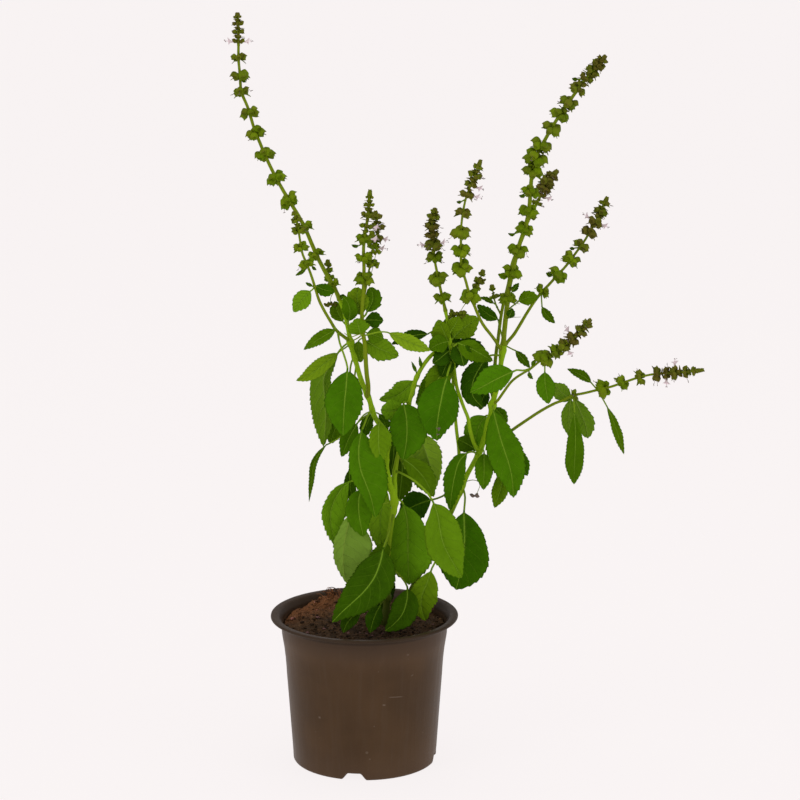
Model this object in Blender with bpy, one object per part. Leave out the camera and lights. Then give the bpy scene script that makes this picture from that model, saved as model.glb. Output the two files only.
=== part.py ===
"""Potted holy basil in a round nursery pot.

One object for each physical piece: the thin-walled pot, the soil in it, four stems,
the flower spikes on their stalks and the leaves on their petioles. Metres, +Z up. The
origin is the centre of the pot's base, on the surface that it stands on, and the front
is towards -Y. Pieces that grow from one another keep a gap of about 0.3 mm.
"""
import bpy
import bmesh
import math
from mathutils import Vector

# ---------------------------------------------------------------- driving dimensions
MM = 0.001
GAP = 0.35 * MM              # between a piece and the piece it grows from or rests on

POT_RIM_R = 70.0             # outside of the turned-out rim, mm
POT_HEIGHT = 112.6
POT_FOOT_R = 53.8            # outside of the wall just above the foot
POT_WALL = 1.0
POT_RIM_DEPTH = 2.0          # height of the rim's outer edge
POT_FLOOR_RISE = 3.0         # the ring of the floor that is held off the surface
POT_PAD_R = 18.0             # flat pad in the middle of the floor
ARCH_COUNT = 4               # arches in the foot
ARCH_WIDTH = 19.6            # at the foot; the sides slope in
ARCH_HEIGHT = 5.0
ARCH_FIRST = -98.0           # direction of the front arch, degrees from +X
DRAIN_COUNT = 5
DRAIN_R = 4.0                # drain holes and the circle that they lie on
DRAIN_CIRCLE_R = 32.0

SOIL_LEVEL = 103.5           # mm above the surface the pot stands on
SOIL_MOUND = 9.0             # heap at the back left
SOIL_BANK = 2.5              # and the soil banked up against the wall at the left

BLADE_HALF_THICK = 0.30 * MM     # leaf blade at its edge
RIB_HALF_THICK = 0.50 * MM       # leaf blade over its midrib
PETIOLE_R = 0.75 * MM

# ---------------------------------------------------------------- front drawing
# The plant is laid out on a front elevation drawn in perspective from 2 m away,
# 0.724 m up, looking 12.63 degrees down. A point is (u, v, y): u to the right and
# v down on the drawing sheet, and y the depth behind the pot's centre, in mm.
SHEET_SCALE = 2791.0
EYE_X, EYE_Y, EYE_Z = 0.0266, -2.0, 0.724
EYE_PITCH = math.radians(12.63)


def at(u, v, y):
    """World point in metres of a drawing point at depth y (mm)."""
    a = (400.0 - v) / SHEET_SCALE
    cp, sp = math.cos(EYE_PITCH), math.sin(EYE_PITCH)
    d = y / 1000.0 - EYE_Y
    zz = d * (a * cp - sp) / (cp + a * sp)
    depth = d * cp - zz * sp
    return (EYE_X + (u - 400.0) / SHEET_SCALE * depth, y / 1000.0, EYE_Z + zz)


def smooth(points, n):
    """n + 1 points evenly spaced along a smooth curve through the given points."""
    p = [points[0]] + list(points) + [points[-1]]
    p[0] = tuple(2 * a - b for a, b in zip(points[0], points[1]))
    p[-1] = tuple(2 * a - b for a, b in zip(points[-1], points[-2]))
    fine = []
    for i in range(1, len(p) - 2):
        for k in range(16):
            t = k / 16.0
            fine.append(tuple(
                0.5 * (2 * b + (c - a) * t + (2 * a - 5 * b + 4 * c - d) * t * t
                       + (3 * b - a - 3 * c + d) * t ** 3)
                for a, b, c, d in zip(p[i - 1], p[i], p[i + 1], p[i + 2])))
    fine.append(tuple(float(c) for c in points[-1]))
    length = [0.0]
    for a, b in zip(fine, fine[1:]):
        length.append(length[-1] + math.dist(a, b))
    out, j = [], 0
    for k in range(n + 1):
        s = length[-1] * k / n
        while j < len(fine) - 2 and length[j + 1] < s:
            j += 1
        span = length[j + 1] - length[j]
        f = 0.0 if span == 0 else (s - length[j]) / span
        out.append(tuple(a + (b - a) * min(max(f, 0.0), 1.0) for a, b in zip(fine[j], fine[j + 1])))
    return out


# Stems: name, radius at the foot and at the top (mm), points from foot to top.
STEMS = {
    "stem_left": (2.6, 1.45, [
        (385, 618, 2), (387, 600, 1), (386.5, 575, 0), (388, 548, -1), (391.5, 522, -2), (394.5, 506, -3),
        (393, 494, -4), (389, 481, -5), (386.5, 468, -6), (386.5, 456, -6), (388, 445, -6), (387.5, 436, -6),
        (383, 428, -6), (376.5, 420, -6), (372.5, 411, -6), (369.5, 400, -6), (365, 390, -5), (360.5, 378, -4),
        (356.5, 364, -2), (352, 350, 1), (350, 340, 3), (348, 328, 5), (344.5, 313, 8), (340, 300, 10)]),
    "stem_middle": (1.8, 1.5, [
        (395, 504, -3), (394.8, 490, -2), (394.5, 477, -1), (396, 465, 1), (398, 455, 2), (400.5, 445, 3),
        (404, 427, 2), (408, 408, 0), (412, 393, -3), (416, 379, -6), (421, 369, -9), (428, 359, -10),
        (436, 351, -9), (442, 346, -7)]),
    "stem_right": (2.1, 1.75, [
        (403, 613, 9), (407, 600, 9.5), (415, 582, 10), (425, 562, 11), (436, 541, 11), (447, 521, 10),
        (453, 508, 9), (458, 497, 8), (463, 485, 7), (467, 475, 6), (473, 464, 5), (478, 455, 5),
        (484, 440, 5), (488, 425, 5), (491, 412, 5), (493, 402, 5), (496, 391, 5), (498.5, 380, 6),
        (500.5, 367, 7), (502, 355, 8), (503.5, 345, 8)]),
    "stem_thin": (1.4, 1.2, [
        (479, 452, 5), (474, 443, 2), (470, 430, -1), (468, 418, -2), (464, 408, -3), (460, 397, -4),
        (457, 388, -4.5), (455.3, 378, -5), (454, 366, -5), (450.5, 346, -5), (447.5, 322, -5), (445.5, 311, -5)]),
}

# Flower spikes: parent stem, stalk radius (mm), points from the branching point to the
# tip, and for each whorl its place on the drawing and its width there.
SPIKES = {
    "flower_spike_left_tall": ("stem_left", 1.5, [
        (340, 300, 10), (333, 285, 12), (328, 277, 13), (318, 258, 15), (311, 242, 17), (305, 228, 18),
        (298, 215, 19), (290, 202, 20), (280, 185, 22), (272, 170, 24), (266, 157, 25), (260, 143, 26),
        (254, 128, 27), (248, 108, 28), (241.5, 92, 29), (240, 76, 30), (238.5, 58, 31), (238.5, 40, 32),
        (237.5, 14, 34)],
        [(333, 285, 16), (317, 254, 18), (305, 227, 18), (289, 200, 20), (276, 178, 20), (264, 154, 20), (255, 133, 20),
         (250, 113, 19), (241, 92.5, 18), (239.5, 76, 19), (238.5, 58, 17), (238.6, 42.5, 13),
         (238.5, 33, 13), (238, 24.5, 12), (237.7, 18, 9)]),
    "flower_spike_left_bud": ("flower_spike_left_tall", 0.7, [
        (335, 290, 11.4), (331, 282, 18), (328.2, 272, 23), (327.8, 261, 26)],
        [(330, 279.5, 11), (328.3, 272.5, 10), (327.9, 266, 8)]),
    "flower_spike_left_side": ("stem_left", 1.2, [
        (350, 341, 2.8), (345, 337.5, -1), (336, 330, -7), (331, 322, -11), (325, 312, -14), (319, 300, -17),
        (314, 284, -20), (310, 272, -22), (305, 260, -24), (302, 252, -26), (300, 240, -28), (297, 222, -30),
        (294, 213, -31)],
        [(306.5, 264, 17), (300.5, 247.5, 16), (297.5, 231.5, 15), (296.3, 221.5, 12), (295, 214.5, 7)]),
    "flower_spike_centre": ("stem_left", 1.65, [
        (367.5, 396, -5.8), (368.2, 390.5, -10.5), (368, 384, -13.5), (366.8, 375, -14.2), (365.8, 361, -14), (365, 345, -13.2), (362.5, 330, -12.5),
        (362, 310, -13), (363.5, 290, -13), (364, 265, -12), (363.5, 250, -11), (364.5, 238, -10),
        (368, 215, -8), (370, 191, -6)],
        [(363.5, 278, 20), (364, 258, 18), (364.5, 239, 18), (366, 227, 15), (367.8, 215.5, 16),
         (369, 206, 12), (369.8, 198.5, 9)]),
    "flower_spike_centre_small": ("flower_spike_centre", 0.8, [
        (364, 297, -13), (366, 287, -6), (367.5, 278, -2.5), (370.5, 263, 3), (373, 247, 7), (376.5, 234, 10), (378, 225, 12),
        (375.5, 212, 13)],
        [(370.7, 263, 14), (373.3, 248, 14), (376, 238, 16), (377.7, 228, 15), (377, 219, 12)]),
    "flower_spike_middle": ("stem_thin", 1.1, [
        (445.5, 311, -5), (443, 300, -5.5), (441, 292, -6), (439, 282, -7), (437, 272, -8), (435, 262, -9),
        (433.5, 250, -10), (431.7, 232, -12), (432.8, 220, -13), (435, 209.5, -14)],
        [(441.5, 298, 18), (438, 278, 20), (434.5, 257.5, 18), (433, 245, 18), (432, 236, 15),
         (431.7, 227, 16), (433, 218, 14), (434.3, 212.5, 9)]),
    "flower_spike_right_inner": ("stem_right", 1.15, [
        (502.3, 351, 8), (498, 345, 2.5), (494.5, 339.5, -0.5), (489.5, 333, -3), (484, 326, -6.5), (479, 317, -10),
        (474.5, 306, -13), (470, 296, -16), (466, 282, -19), (463, 272, -21), (461, 262, -23), (461, 250, -24),
        (461, 230, -26), (463, 212, -27), (466, 198, -28), (470, 187, -28), (475, 175, -29), (480.5, 161, -30)],
        [(469.5, 296, 20), (462, 267.5, 21), (460.8, 249.5, 19), (461, 231.5, 20), (463.2, 213, 17),
         (466, 194.5, 17), (469.5, 185, 14), (473.5, 175.5, 15), (477, 168.5, 11)]),
    "flower_spike_right_inner_bud": ("flower_spike_right_inner", 0.7, [
        (470, 297, -15.7), (474, 291, -10), (478, 284, -6), (483, 271, -3)],
        [(475.6, 288.5, 10), (478.7, 282.5, 12), (481.5, 275.5, 8)]),
    "flower_spike_right_tall": ("stem_right", 1.75, [
        (503.5, 345, 8), (504, 335, 8), (505.5, 320, 7), (507.5, 302, 5), (509, 288, 4), (513, 270, 2),
        (518, 249, 0), (525, 228, -3), (529, 210, -5), (530.5, 190, -8), (532, 175, -10), (535, 160, -12),
        (540, 149, -13), (546, 138, -14), (551, 129, -15), (558.5, 117, -17), (567, 105, -18), (574.5, 94, -19),
        (582.5, 83, -20), (590.5, 73.5, -20), (598, 65, -21), (605, 56.5, -22)],
        [(508.5, 299, 19), (512.5, 272, 20), (518, 250, 20), (524.5, 229, 19), (529, 211, 20),
         (531, 191, 19), (531, 171, 22), (536, 157, 24), (542, 145, 21), (551, 128, 21), (560, 114, 20),
         (567.5, 102, 20), (576, 89, 18), (584.5, 78.5, 16), (591, 71, 17), (597, 65, 16),
         (601.5, 60.5, 12)]),
    "flower_spike_right_back": ("stem_right", 1.35, [
        (492.8, 403, 5), (494, 390, 10), (495, 365, 13), (496.5, 350, 14), (498, 340, 15),
        (500.5, 320, 17), (503.5, 303, 21), (508, 285, 26), (512.5, 262, 32), (522, 240, 38), (528, 222, 42),
        (535, 207, 45), (541, 195, 47), (546, 184, 49), (557, 171, 51)],
        [(524, 234, 12), (530, 218, 12), (536, 204.5, 12), (540, 196, 12), (543, 189, 17), (547, 182.5, 17),
         (551.5, 176.5, 14)]),
    "flower_shoot_right": ("flower_spike_right_back", 0.7, [
        (501.3, 315, 18.2), (497.5, 308, 22), (494.5, 300, 26), (492, 286, 30)],
        [(494, 298, 9), (492.5, 290, 7)]),
    "flower_spike_right_outer": ("stem_right", 1.2, [
        (503.2, 350, 8), (507.5, 342, 13), (513.5, 335, 15), (519.5, 325.5, 16), (526, 314.5, 17.5), (533, 303.5, 19),
        (541, 293, 20.5), (550, 283.5, 21.5), (557.5, 275, 22.5), (566, 266, 24), (575, 254, 26), (585, 240, 28),
        (592, 228, 30), (600, 213, 32), (607, 198, 34)],
        [(541, 290, 17), (558, 273.5, 20), (571, 259, 19), (581, 245, 18), (588.5, 232, 18),
         (594.5, 222, 17), (600, 212.5, 16), (604, 205, 12)]),
    "flower_spike_right_low": ("stem_right", 1.0, [
        (492.5, 405, 5), (498, 400, 0), (505, 390, -6), (512, 381, -11), (520, 375, -15), (530, 369, -19),
        (540, 361, -23), (549, 355, -26), (558, 349.5, -29), (567, 343, -32), (577, 335, -35), (585, 327, -37),
        (590, 320, -39)],
        [(545, 358, 20), (555.5, 351.3, 16), (564, 345.3, 16), (572.5, 338.8, 17), (580.5, 331.3, 15),
         (586, 325, 12)]),
    "flower_spike_far_right": ("stem_right", 1.15, [
        (484, 440, 5), (493, 440.5, 9), (500, 437.2, 10.5), (507, 433.7, 11), (520, 424.6, 10), (540, 411.4, 8),
        (555, 403.2, 6), (563, 400.5, 5), (573, 395.5, 3), (585, 393, 0), (597, 390, -3), (610, 387, -7),
        (625, 382, -11), (640, 377, -15), (655, 374, -19), (670, 373, -23), (685, 372, -27), (703, 370, -31)],
        [(573.5, 394.5, 12), (603, 388.8, 19), (622.5, 383, 17), (639.5, 377.2, 17), (656, 374, 16),
         (665, 373.3, 14), (674, 373, 16), (684, 372.2, 13), (692.5, 371.3, 10)]),
}

# Leaves: parent stem, petiole points, midrib points from the blade's base to its tip,
# blade width (mm), where the blade is widest (share of its length), how much wider its
# right half is than its left, turn about the midrib (degrees, 0 = flat to the front),
# fold of each half (degrees), and the side in front: 1 the upper side, -1 the pale underside.
LEAVES = {
    "leaf_left_front": ("flower_spike_left_side", [(338, 332, -6), (339.5, 342, -13), (344, 355, -18), (347.3, 366, -22)],
        [(347.3, 371, -23), (346, 388, -27), (344.5, 403, -29), (343.5, 420, -29), (343, 436, -27)], 28.5, 0.44, 0.0, 6, 12, 1),
    "leaf_left_pale": ("stem_left", [(350, 342, 2.6), (345, 345, 5), (340, 350, 7)],
        [(338, 353, 8), (329, 367, 12), (323.5, 380, 14), (325, 402, 14), (325.5, 422, 14), (323.5, 447, 12)], 18.5, 0.55, -0.2, -14, 16, -1),
    "leaf_left_outer": ("stem_left", [(350.5, 344, 2.4), (345, 348, -1), (341, 350.5, -3)],
        [(338, 353, -4), (323, 364.8, -7), (309.5, 375, -10), (296, 380.8, -11)], 12.5, 0.45, 0.0, 15, 12, 1),
    "leaf_left_upper": ("flower_spike_left_side", [(334, 327, -9.3), (335.5, 328.5, -13)],
        [(335.5, 330, -14.5), (326, 335, -16), (314.5, 342, -17), (303.5, 349.8, -17)], 10, 0.4, 0.0, 20, 14, 1),
    "leaf_left_low_front": ("stem_left", [(371.7, 409, -6), (367.5, 416, -12), (364.5, 424, -17)],
        [(361.5, 431, -20), (359, 445, -23), (358.8, 458, -25), (361, 471, -26), (366, 484, -26), (371, 498, -25), (375.5, 518, -23)],
        27.5, 0.42, 0.36, -8, 14, 1),
    "leaf_left_low_outer": ("stem_left", [(388, 478, -5), (370, 478, -3), (356, 480, -1)],
        [(349, 482, 0), (340.5, 490, 1), (334, 501, 2), (330.5, 513, 2), (331, 526, 2.5), (334, 538, 3), (339, 549, 4)], 19, 0.42, 0.2, -20, 14, 1),
    "leaf_left_low_pale": ("stem_left", [(394.4, 502, -3.2), (380, 504, -6), (363, 509, -8)],
        [(353.5, 513, -9), (348.5, 525, -10), (345, 540, -12), (343.5, 556, -12), (344, 570, -11), (347, 584, -10)], 31, 0.48, 0.38, 24, 16, -1),
    "leaf_left_low_inner": ("stem_left", [(392.5, 492, -4.2), (379, 488, -11), (368, 488, -15)],
        [(361, 489, -16), (358.5, 502, -17.5), (359.5, 518, -19), (363.5, 537, -19)], 20, 0.45, 0.0, 0, 8, 1),
    "leaf_left_low_small": ("stem_left", [(393.2, 497, -4), (390, 492, 4), (388, 490, 8)],
        [(386.5, 490, 10), (382.5, 503, 11), (380.5, 518, 11), (380.5, 534, 10.5), (382.5, 551, 10)], 19, 0.5, -0.1, -10, 16, 1),
    "leaf_base_left_front": ("stem_left", [(393.5, 512, -2.6), (391, 526, -12), (387, 539, -20), (384, 546, -24)],
        [(383, 550, -26), (380, 563, -31), (374, 578, -36), (364, 591.5, -41), (353, 602, -46), (342, 612, -50), (332, 622.5, -53)],
        31, 0.34, 0.0, 4, 10, 1),
    "leaf_base_left_shade": ("stem_left", [(386.8, 597, 0.8), (383, 601, -7), (381, 604, -10)],
        [(380, 606, -12), (376, 613, -18), (372.5, 623, -26), (370, 633, -33)], 13, 0.5, 0.0, 0, 12, 1),
    "leaf_base_centre": ("stem_left", [(386.5, 566, -0.3), (395, 571, -8), (403, 579, -13), (407, 586, -16)],
        [(407.5, 589, -17), (407, 600, -22), (403, 613, -27), (395, 623, -31), (385, 631, -34)], 21, 0.42, 0.0, 0, 12, 1),
    "leaf_base_right": ("stem_right", [(442, 530, 10.5), (440, 545, 3), (436.5, 559, -5), (432.5, 567, -9)],
        [(431, 571, -9), (427, 583, -10), (422, 596, -11), (421.5, 608, -12), (425.5, 621, -12)], 21, 0.5, 0.12, 0, 10, 1),
    "leaf_centre_low": ("stem_left", [(395, 503, -3.2), (399, 500, 1), (402, 502, 2)],
        [(403.5, 505, 2.2), (406.5, 516, 3), (408, 531, 3), (408, 550, 2), (408.3, 567, 0.5), (409, 585, -0.5)], 39, 0.6, 0.1, 24, 6, 1),
    "leaf_centre_low_pale": ("stem_middle", [(395, 471, 0.2), (400, 472.5, -5), (406, 475.5, -9), (415, 481, -14), (425, 490, -19), (431, 498, -22)],
        [(433.5, 503, -23), (437.5, 515, -25), (440, 530, -27), (443, 543, -28), (448, 554, -28), (455, 566, -27), (462, 578, -25)],
        34, 0.46, -0.06, -27, 22, 1),
    "leaf_centre_shade": ("stem_right", [(460, 492.5, 7.6), (450, 492, 13), (441, 497, 16), (435, 499, 17.5)],
        [(431, 500, 18), (421, 503, 20), (410, 508, 21), (399, 515, 21)], 21, 0.42, 0.0, 0, 10, 1),
    "leaf_centre_pale": ("stem_middle", [(404, 427, 2), (410, 429, 6), (415.5, 431.5, 8)],
        [(418.5, 434, 8.5), (424, 447, 9.5), (428.5, 461, 10), (432.5, 475, 9.5), (436, 488, 8.5)], 31, 0.35, -0.28, 0, 12, -1),
    "leaf_centre_front": ("stem_middle", [(409, 405, -0.6), (406.5, 402, -4), (404, 402.5, -6)],
        [(403.5, 404, -7), (406, 416, -11), (407, 430, -14), (406, 445, -15), (403, 460, -14)], 29.5, 0.45, 0.05, -5, 12, 1),
    "leaf_centre_small": ("stem_middle", [(417, 377.5, -6.6), (416, 378.5, -3), (414.5, 380, 1)],
        [(413.5, 381, 2.5), (406, 389, 6), (396, 396, 7.5), (379, 399.8, 8)], 16.5, 0.3, 0.0, 0, 12, 1),
    "leaf_middle_front": ("stem_thin", [(452.5, 358, -5), (450, 366, -14), (447.5, 374, -20)],
        [(446.7, 378, -22), (443.8, 388, -25), (441.2, 400, -27), (438.7, 413, -28), (437, 427, -27), (437, 441, -25)], 30.5, 0.45, -0.06, -6, 10, 1),
    "leaf_right_of_middle": ("stem_right", [(478, 454.5, 5), (473.5, 452, -1), (470, 452, -5.5)],
        [(467, 453, -8), (459, 462, -11), (455, 475, -13), (452, 491, -13), (450, 511, -11)], 15.5, 0.42, 0.0, 10, 16, 1),
    "leaf_right_small": ("stem_right", [(480, 450, 5), (482.5, 449.5, 0), (484, 451, -3)],
        [(484, 453, -4), (484, 463, -7), (484, 476, -9), (483.5, 490, -8)], 14, 0.42, 0.0, 0, 12, 1),
    "leaf_right_front": ("stem_right", [(492, 406.5, 5), (493, 406.5, 0), (493.5, 409, -2)],
        [(493.5, 411, -3), (497, 425, -6), (501, 440, -9), (506, 455, -11), (510, 468, -12), (512.5, 482, -12), (513.5, 498, -11)],
        26, 0.5, 0.0, 5, 12, 1),
    "leaf_right_outer": ("stem_right", [(487, 430, 5), (493, 432.5, 2), (500, 438.5, 1)],
        [(504, 443, 1), (512.5, 450.5, 0.5), (520.5, 461.5, -0.5), (527.5, 476, -1.5)], 13, 0.6, 0.0, 10, 14, 1),
    "leaf_right_shade": ("stem_right", [(501.9, 357, 7.7), (497, 355, 4.5), (490, 355.5, 3.5)],
        [(487, 357, 3.5), (479, 369, 2.5), (473, 382, 1.5), (473, 396, 1), (483, 408, 1)], 19, 0.45, 0.0, 0, 12, 1),
    "leaf_right_behind": ("stem_right", [(489.5, 419, 5), (488, 416, 9), (486.5, 415.5, 11)],
        [(486, 416, 12), (480, 424, 14), (476, 436, 15), (474, 452, 15)], 20, 0.36, 0.0, 0, 12, 1),
    "leaf_right_low_large": ("stem_right", [(462.5, 486, 7), (465, 496, 4), (464.5, 506, 1)],
        [(464, 512, 0), (464.5, 528, -3), (464.5, 544, -5), (463, 560, -6), (460, 575, -6), (456, 590, -4)], 39, 0.6, 0.0, 4, 8, 1),
    "leaf_right_upper": ("flower_spike_right_low", [(530, 369, -19), (523, 370.5, -22), (517, 370, -24)],
        [(513.3, 371.5, -24.5), (503, 376, -26), (492, 381.5, -27.5), (481, 387.5, -28), (470, 392.5, -27)], 19, 0.42, -0.15, 0, 12, 1),
    "leaf_far_right_upper": ("flower_spike_right_low", [(545, 358, -24.6), (544.8, 365, -27), (544.8, 370, -28)],
        [(544.8, 372, -28), (545, 382, -30), (546.5, 392, -30), (548.5, 404, -29)], 14, 0.48, 0.0, 0, 12, 1),
    "leaf_far_right_front": ("flower_spike_far_right", [(573, 395, 3), (574, 404, -5), (574.5, 411, -8)],
        [(574.5, 414, -9), (575.5, 432, -12), (575.3, 450, -13), (574.3, 468, -12), (574, 484.5, -10)], 14, 0.66, 0.0, 8, 16, 1),
    "leaf_middle_top": ("stem_thin", [(450, 343, -5), (451.5, 340, -3), (452.7, 338.5, -2.3)],
        [(453.3, 338, -2), (460, 331, -1.5), (468, 325, -1), (479, 318, 0)], 19, 0.45, 0.10, 10, 10, 1),
    "leaf_middle_right": ("stem_thin", [(451.3, 351, -5), (453.5, 347, -9), (456, 344.5, -11)],
        [(458, 343, -12), (470, 348, -13), (482, 354.5, -13), (493, 361, -12)], 15, 0.36, -0.2, -8, 12, 1),
    "leaf_inner_pale": ("flower_spike_centre", [(363.6, 336, -12.8), (370, 334, -15.5), (379, 332, -17), (386, 332, -18)],
        [(389, 333, -18.5), (402, 339, -20), (416, 345, -21), (431, 350.5, -21)], 11.5, 0.5, 0.0, 14, 12, 1),
    "leaf_inner_right": ("flower_spike_centre", [(364.2, 339, -12.9), (365, 340, -9.5), (365.6, 340.6, -8.2)],
        [(366, 341, -7.5), (378, 348, -6), (389, 352.5, -4.5), (399, 356, -3)], 17.5, 0.4, 0.0, 0, 12, 1),
    "leaf_inner_dark": ("stem_thin", [(448.4, 330, -5), (439, 329, -1), (431, 332, 1)],
        [(428, 334, 1.5), (416, 335, 3), (403, 339, 4), (391, 344.5, 4)], 9, 0.42, 0.0, 0, 12, 1),
    "leaf_back_left_low": ("stem_left", [(386.6, 461, -6), (383, 457, 3), (380, 456, 9)],
        [(378.5, 457, 13), (373, 462, 22), (368, 471, 31), (365, 484, 38)], 22, 0.42, 0.0, 0, 12, 1),
    "leaf_back_right": ("stem_right", [(488, 425, 5), (492, 428, 12), (495, 431, 17)],
        [(495.5, 433, 20), (498, 442, 29), (499.5, 455, 36), (499.5, 470, 42)], 18, 0.42, 0.0, 0, 12, 1),
    "leaf_back_right_low": ("stem_right", [(441, 532, 10.6), (442, 534, 16), (443.5, 536, 19)],
        [(445, 538, 22), (449, 545, 31), (453, 556, 39), (455, 569, 45)], 24, 0.42, 0.0, 0, 10, 1),
    "leaf_back_middle": ("stem_middle", [(414, 386, -4.3), (419, 386, 3), (423, 388, 8)],
        [(425, 389, 11), (430, 394, 19), (434, 403, 27), (437, 415, 33)], 19, 0.42, 0.0, 0, 12, 1),
    "leaf_back_left": ("stem_left", [(354.3, 357, -0.6), (352, 361, 9), (350.5, 367, 15)],
        [(350, 372, 18), (350, 382, 26), (349, 394, 33), (348, 408, 38)], 17, 0.42, 0.0, 0, 12, 1),
}


# ---------------------------------------------------------------- colours
POT_BROWN = (0.069, 0.040, 0.026)
SOIL_BROWN = (0.085, 0.030, 0.015)
STEM_GREEN = (0.130, 0.210, 0.020)
LEAF_GREEN = (0.045, 0.120, 0.008)
LEAF_PALE = (0.130, 0.250, 0.045)
SPIKE_GREEN = (0.105, 0.150, 0.018)


def new_material(name, colour, roughness):
    mat = bpy.data.materials.new(name)
    mat.use_nodes = True
    bsdf = mat.node_tree.nodes["Principled BSDF"]
    bsdf.inputs["Base Color"].default_value = (*colour, 1.0)
    bsdf.inputs["Roughness"].default_value = roughness
    bsdf.inputs["Metallic"].default_value = 0.0
    return mat


def new_object(name, bm, colour, roughness, smooth_angle=50.0):
    """Turns a closed bmesh into an object with its faces pointing out."""
    bmesh.ops.recalc_face_normals(bm, faces=bm.faces)
    if bm.calc_volume(signed=True) < 0:
        bmesh.ops.reverse_faces(bm, faces=bm.faces)
    mesh = bpy.data.meshes.new(name)
    bm.to_mesh(mesh)
    bm.free()
    mesh.shade_smooth()
    mesh.set_sharp_from_angle(angle=math.radians(smooth_angle))
    mesh.materials.append(new_material(name, colour, roughness))
    ob = bpy.data.objects.new(name, mesh)
    bpy.context.scene.collection.objects.link(ob)
    return ob


def skin(rings, seat=None):
    """Closed body through rings of equally many points, with a fan over each end. The
    fan over the first ring meets at the seat, if there is one."""
    bm = bmesh.new()
    rows = [[bm.verts.new(p) for p in ring] for ring in rings]
    n = len(rows[0])
    for a, b in zip(rows, rows[1:]):
        for i in range(n):
            j = (i + 1) % n
            bm.faces.new((a[i], a[j], b[j], b[i]))
    for row, flip in ((rows[0], True), (rows[-1], False)):
        mid = bm.verts.new(seat if flip and seat else sum((v.co for v in row), Vector()) / n)
        for i in range(n):
            j = (i + 1) % n
            bm.faces.new((row[j], row[i], mid) if flip else (row[i], row[j], mid))
    return bm


# ---------------------------------------------------------------- pot
def arch_lift(theta):
    """1 inside an arch of the foot, 0 between the arches."""
    best = min(abs((theta - math.radians(ARCH_FIRST + 360.0 / ARCH_COUNT * k) + math.pi)
                   % (2 * math.pi) - math.pi) for k in range(ARCH_COUNT))
    half = ARCH_WIDTH / 2 / POT_FOOT_R
    return min(max((half - best) / (half * 0.5), 0.0), 1.0)


def pot_angles():
    """Directions of the pot's ribs: close together at the arches, wide apart between."""
    half = ARCH_WIDTH / 2 / POT_FOOT_R
    out = []
    for k in range(ARCH_COUNT):
        mid = math.radians(ARCH_FIRST + 360.0 / ARCH_COUNT * k)
        nxt = mid + 2 * math.pi / ARCH_COUNT
        out += [mid + half * x for x in (-1.0, -0.75, -0.5, 0.0, 0.5, 0.75, 1.0)]
        a, b = mid + half, nxt - half
        out += [a + (b - a) * i / 9.0 for i in range(1, 9)]
    return out


def pot_profile(theta):
    """(r, z) in mm around the pot's wall, from the middle of the underside out, up,
    over the rim and down the inside to the middle of the floor."""
    lift = arch_lift(theta)
    up = ARCH_HEIGHT * lift
    top, rim = POT_HEIGHT, POT_RIM_R
    rise, wall = POT_FLOOR_RISE, POT_WALL
    foot = POT_FOOT_R
    return [
        (POT_PAD_R, 0.0), (POT_PAD_R + 1.6, rise), (foot - 8.8, rise), (foot - 7.3, up),
        (foot - 1.5, up), (foot - 0.2, 1.3 + up), (foot + 0.05, 4.0 + 0.75 * up), (foot + 0.6, 13.0),
        (58.6, 72.0), (60.1, 88.0), (61.8, 98.0), (62.0, top - 5.2),
        (62.9, top - POT_RIM_DEPTH - 1.4), (64.2, top - POT_RIM_DEPTH), (rim - 0.7, top - POT_RIM_DEPTH), (rim, top - POT_RIM_DEPTH + 0.7),
        (rim, top - 0.8), (rim - 0.9, top), (65.2, top - 0.1), (64.0, top - 0.5), (63.4, top - 1.5),
        (61.0, top - 5.4), (61.8 - wall, 98.0), (60.1 - wall, 88.0), (58.6 - wall, 72.0),
        (foot + 0.6 - wall, 13.0), (foot - wall, 5.4 + 0.75 * up), (foot - 2.4, 1.2 + up),
        (foot - 6.4 - 1.5 * lift, 1.2 + up), (foot - 8.0 - 1.6 * lift, rise + 1.1),
        (POT_PAD_R + 0.9, rise + 1.1), (POT_PAD_R - 0.8, 1.2)]


def build_pot():
    bm = bmesh.new()
    columns = []
    for theta in pot_angles():
        c, s = math.cos(theta), math.sin(theta)
        columns.append([bm.verts.new((r * c * MM, r * s * MM, z * MM)) for r, z in pot_profile(theta)])
    n = len(columns)
    for i in range(n):
        a, b = columns[i], columns[(i + 1) % n]
        for k in range(len(a) - 1):
            bm.faces.new((a[k], b[k], b[k + 1], a[k + 1]))
    under = bm.verts.new((0, 0, 0))
    floor = bm.verts.new((0, 0, 1.2 * MM))
    for i in range(n):
        a, b = columns[i], columns[(i + 1) % n]
        bm.faces.new((b[0], a[0], under))
        bm.faces.new((a[-1], b[-1], floor))
    pot = new_object("pot", bm, POT_BROWN, 0.45, 32.0)

    # five drain holes through the raised ring of the floor
    for k in range(DRAIN_COUNT):
        theta = math.radians(ARCH_FIRST + 36.0 + 360.0 / DRAIN_COUNT * k)
        hole = bmesh.new()
        bmesh.ops.create_cone(hole, cap_ends=True, segments=12, radius1=DRAIN_R * MM,
                              radius2=DRAIN_R * MM, depth=12 * MM)
        mesh = bpy.data.meshes.new("drain_cutter_%d" % k)
        hole.to_mesh(mesh)
        hole.free()
        cutter = bpy.data.objects.new("drain_cutter_%d" % k, mesh)
        bpy.context.scene.collection.objects.link(cutter)
        cutter.location = (DRAIN_CIRCLE_R * MM * math.cos(theta), DRAIN_CIRCLE_R * MM * math.sin(theta),
                           3.6 * MM)
        cutter.hide_render = True
        cutter.display_type = "WIRE"
        cut = pot.modifiers.new("drain_%d" % k, "BOOLEAN")
        cut.operation = "DIFFERENCE"
        cut.solver = "EXACT"
        cut.object = cutter
    return pot


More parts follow.
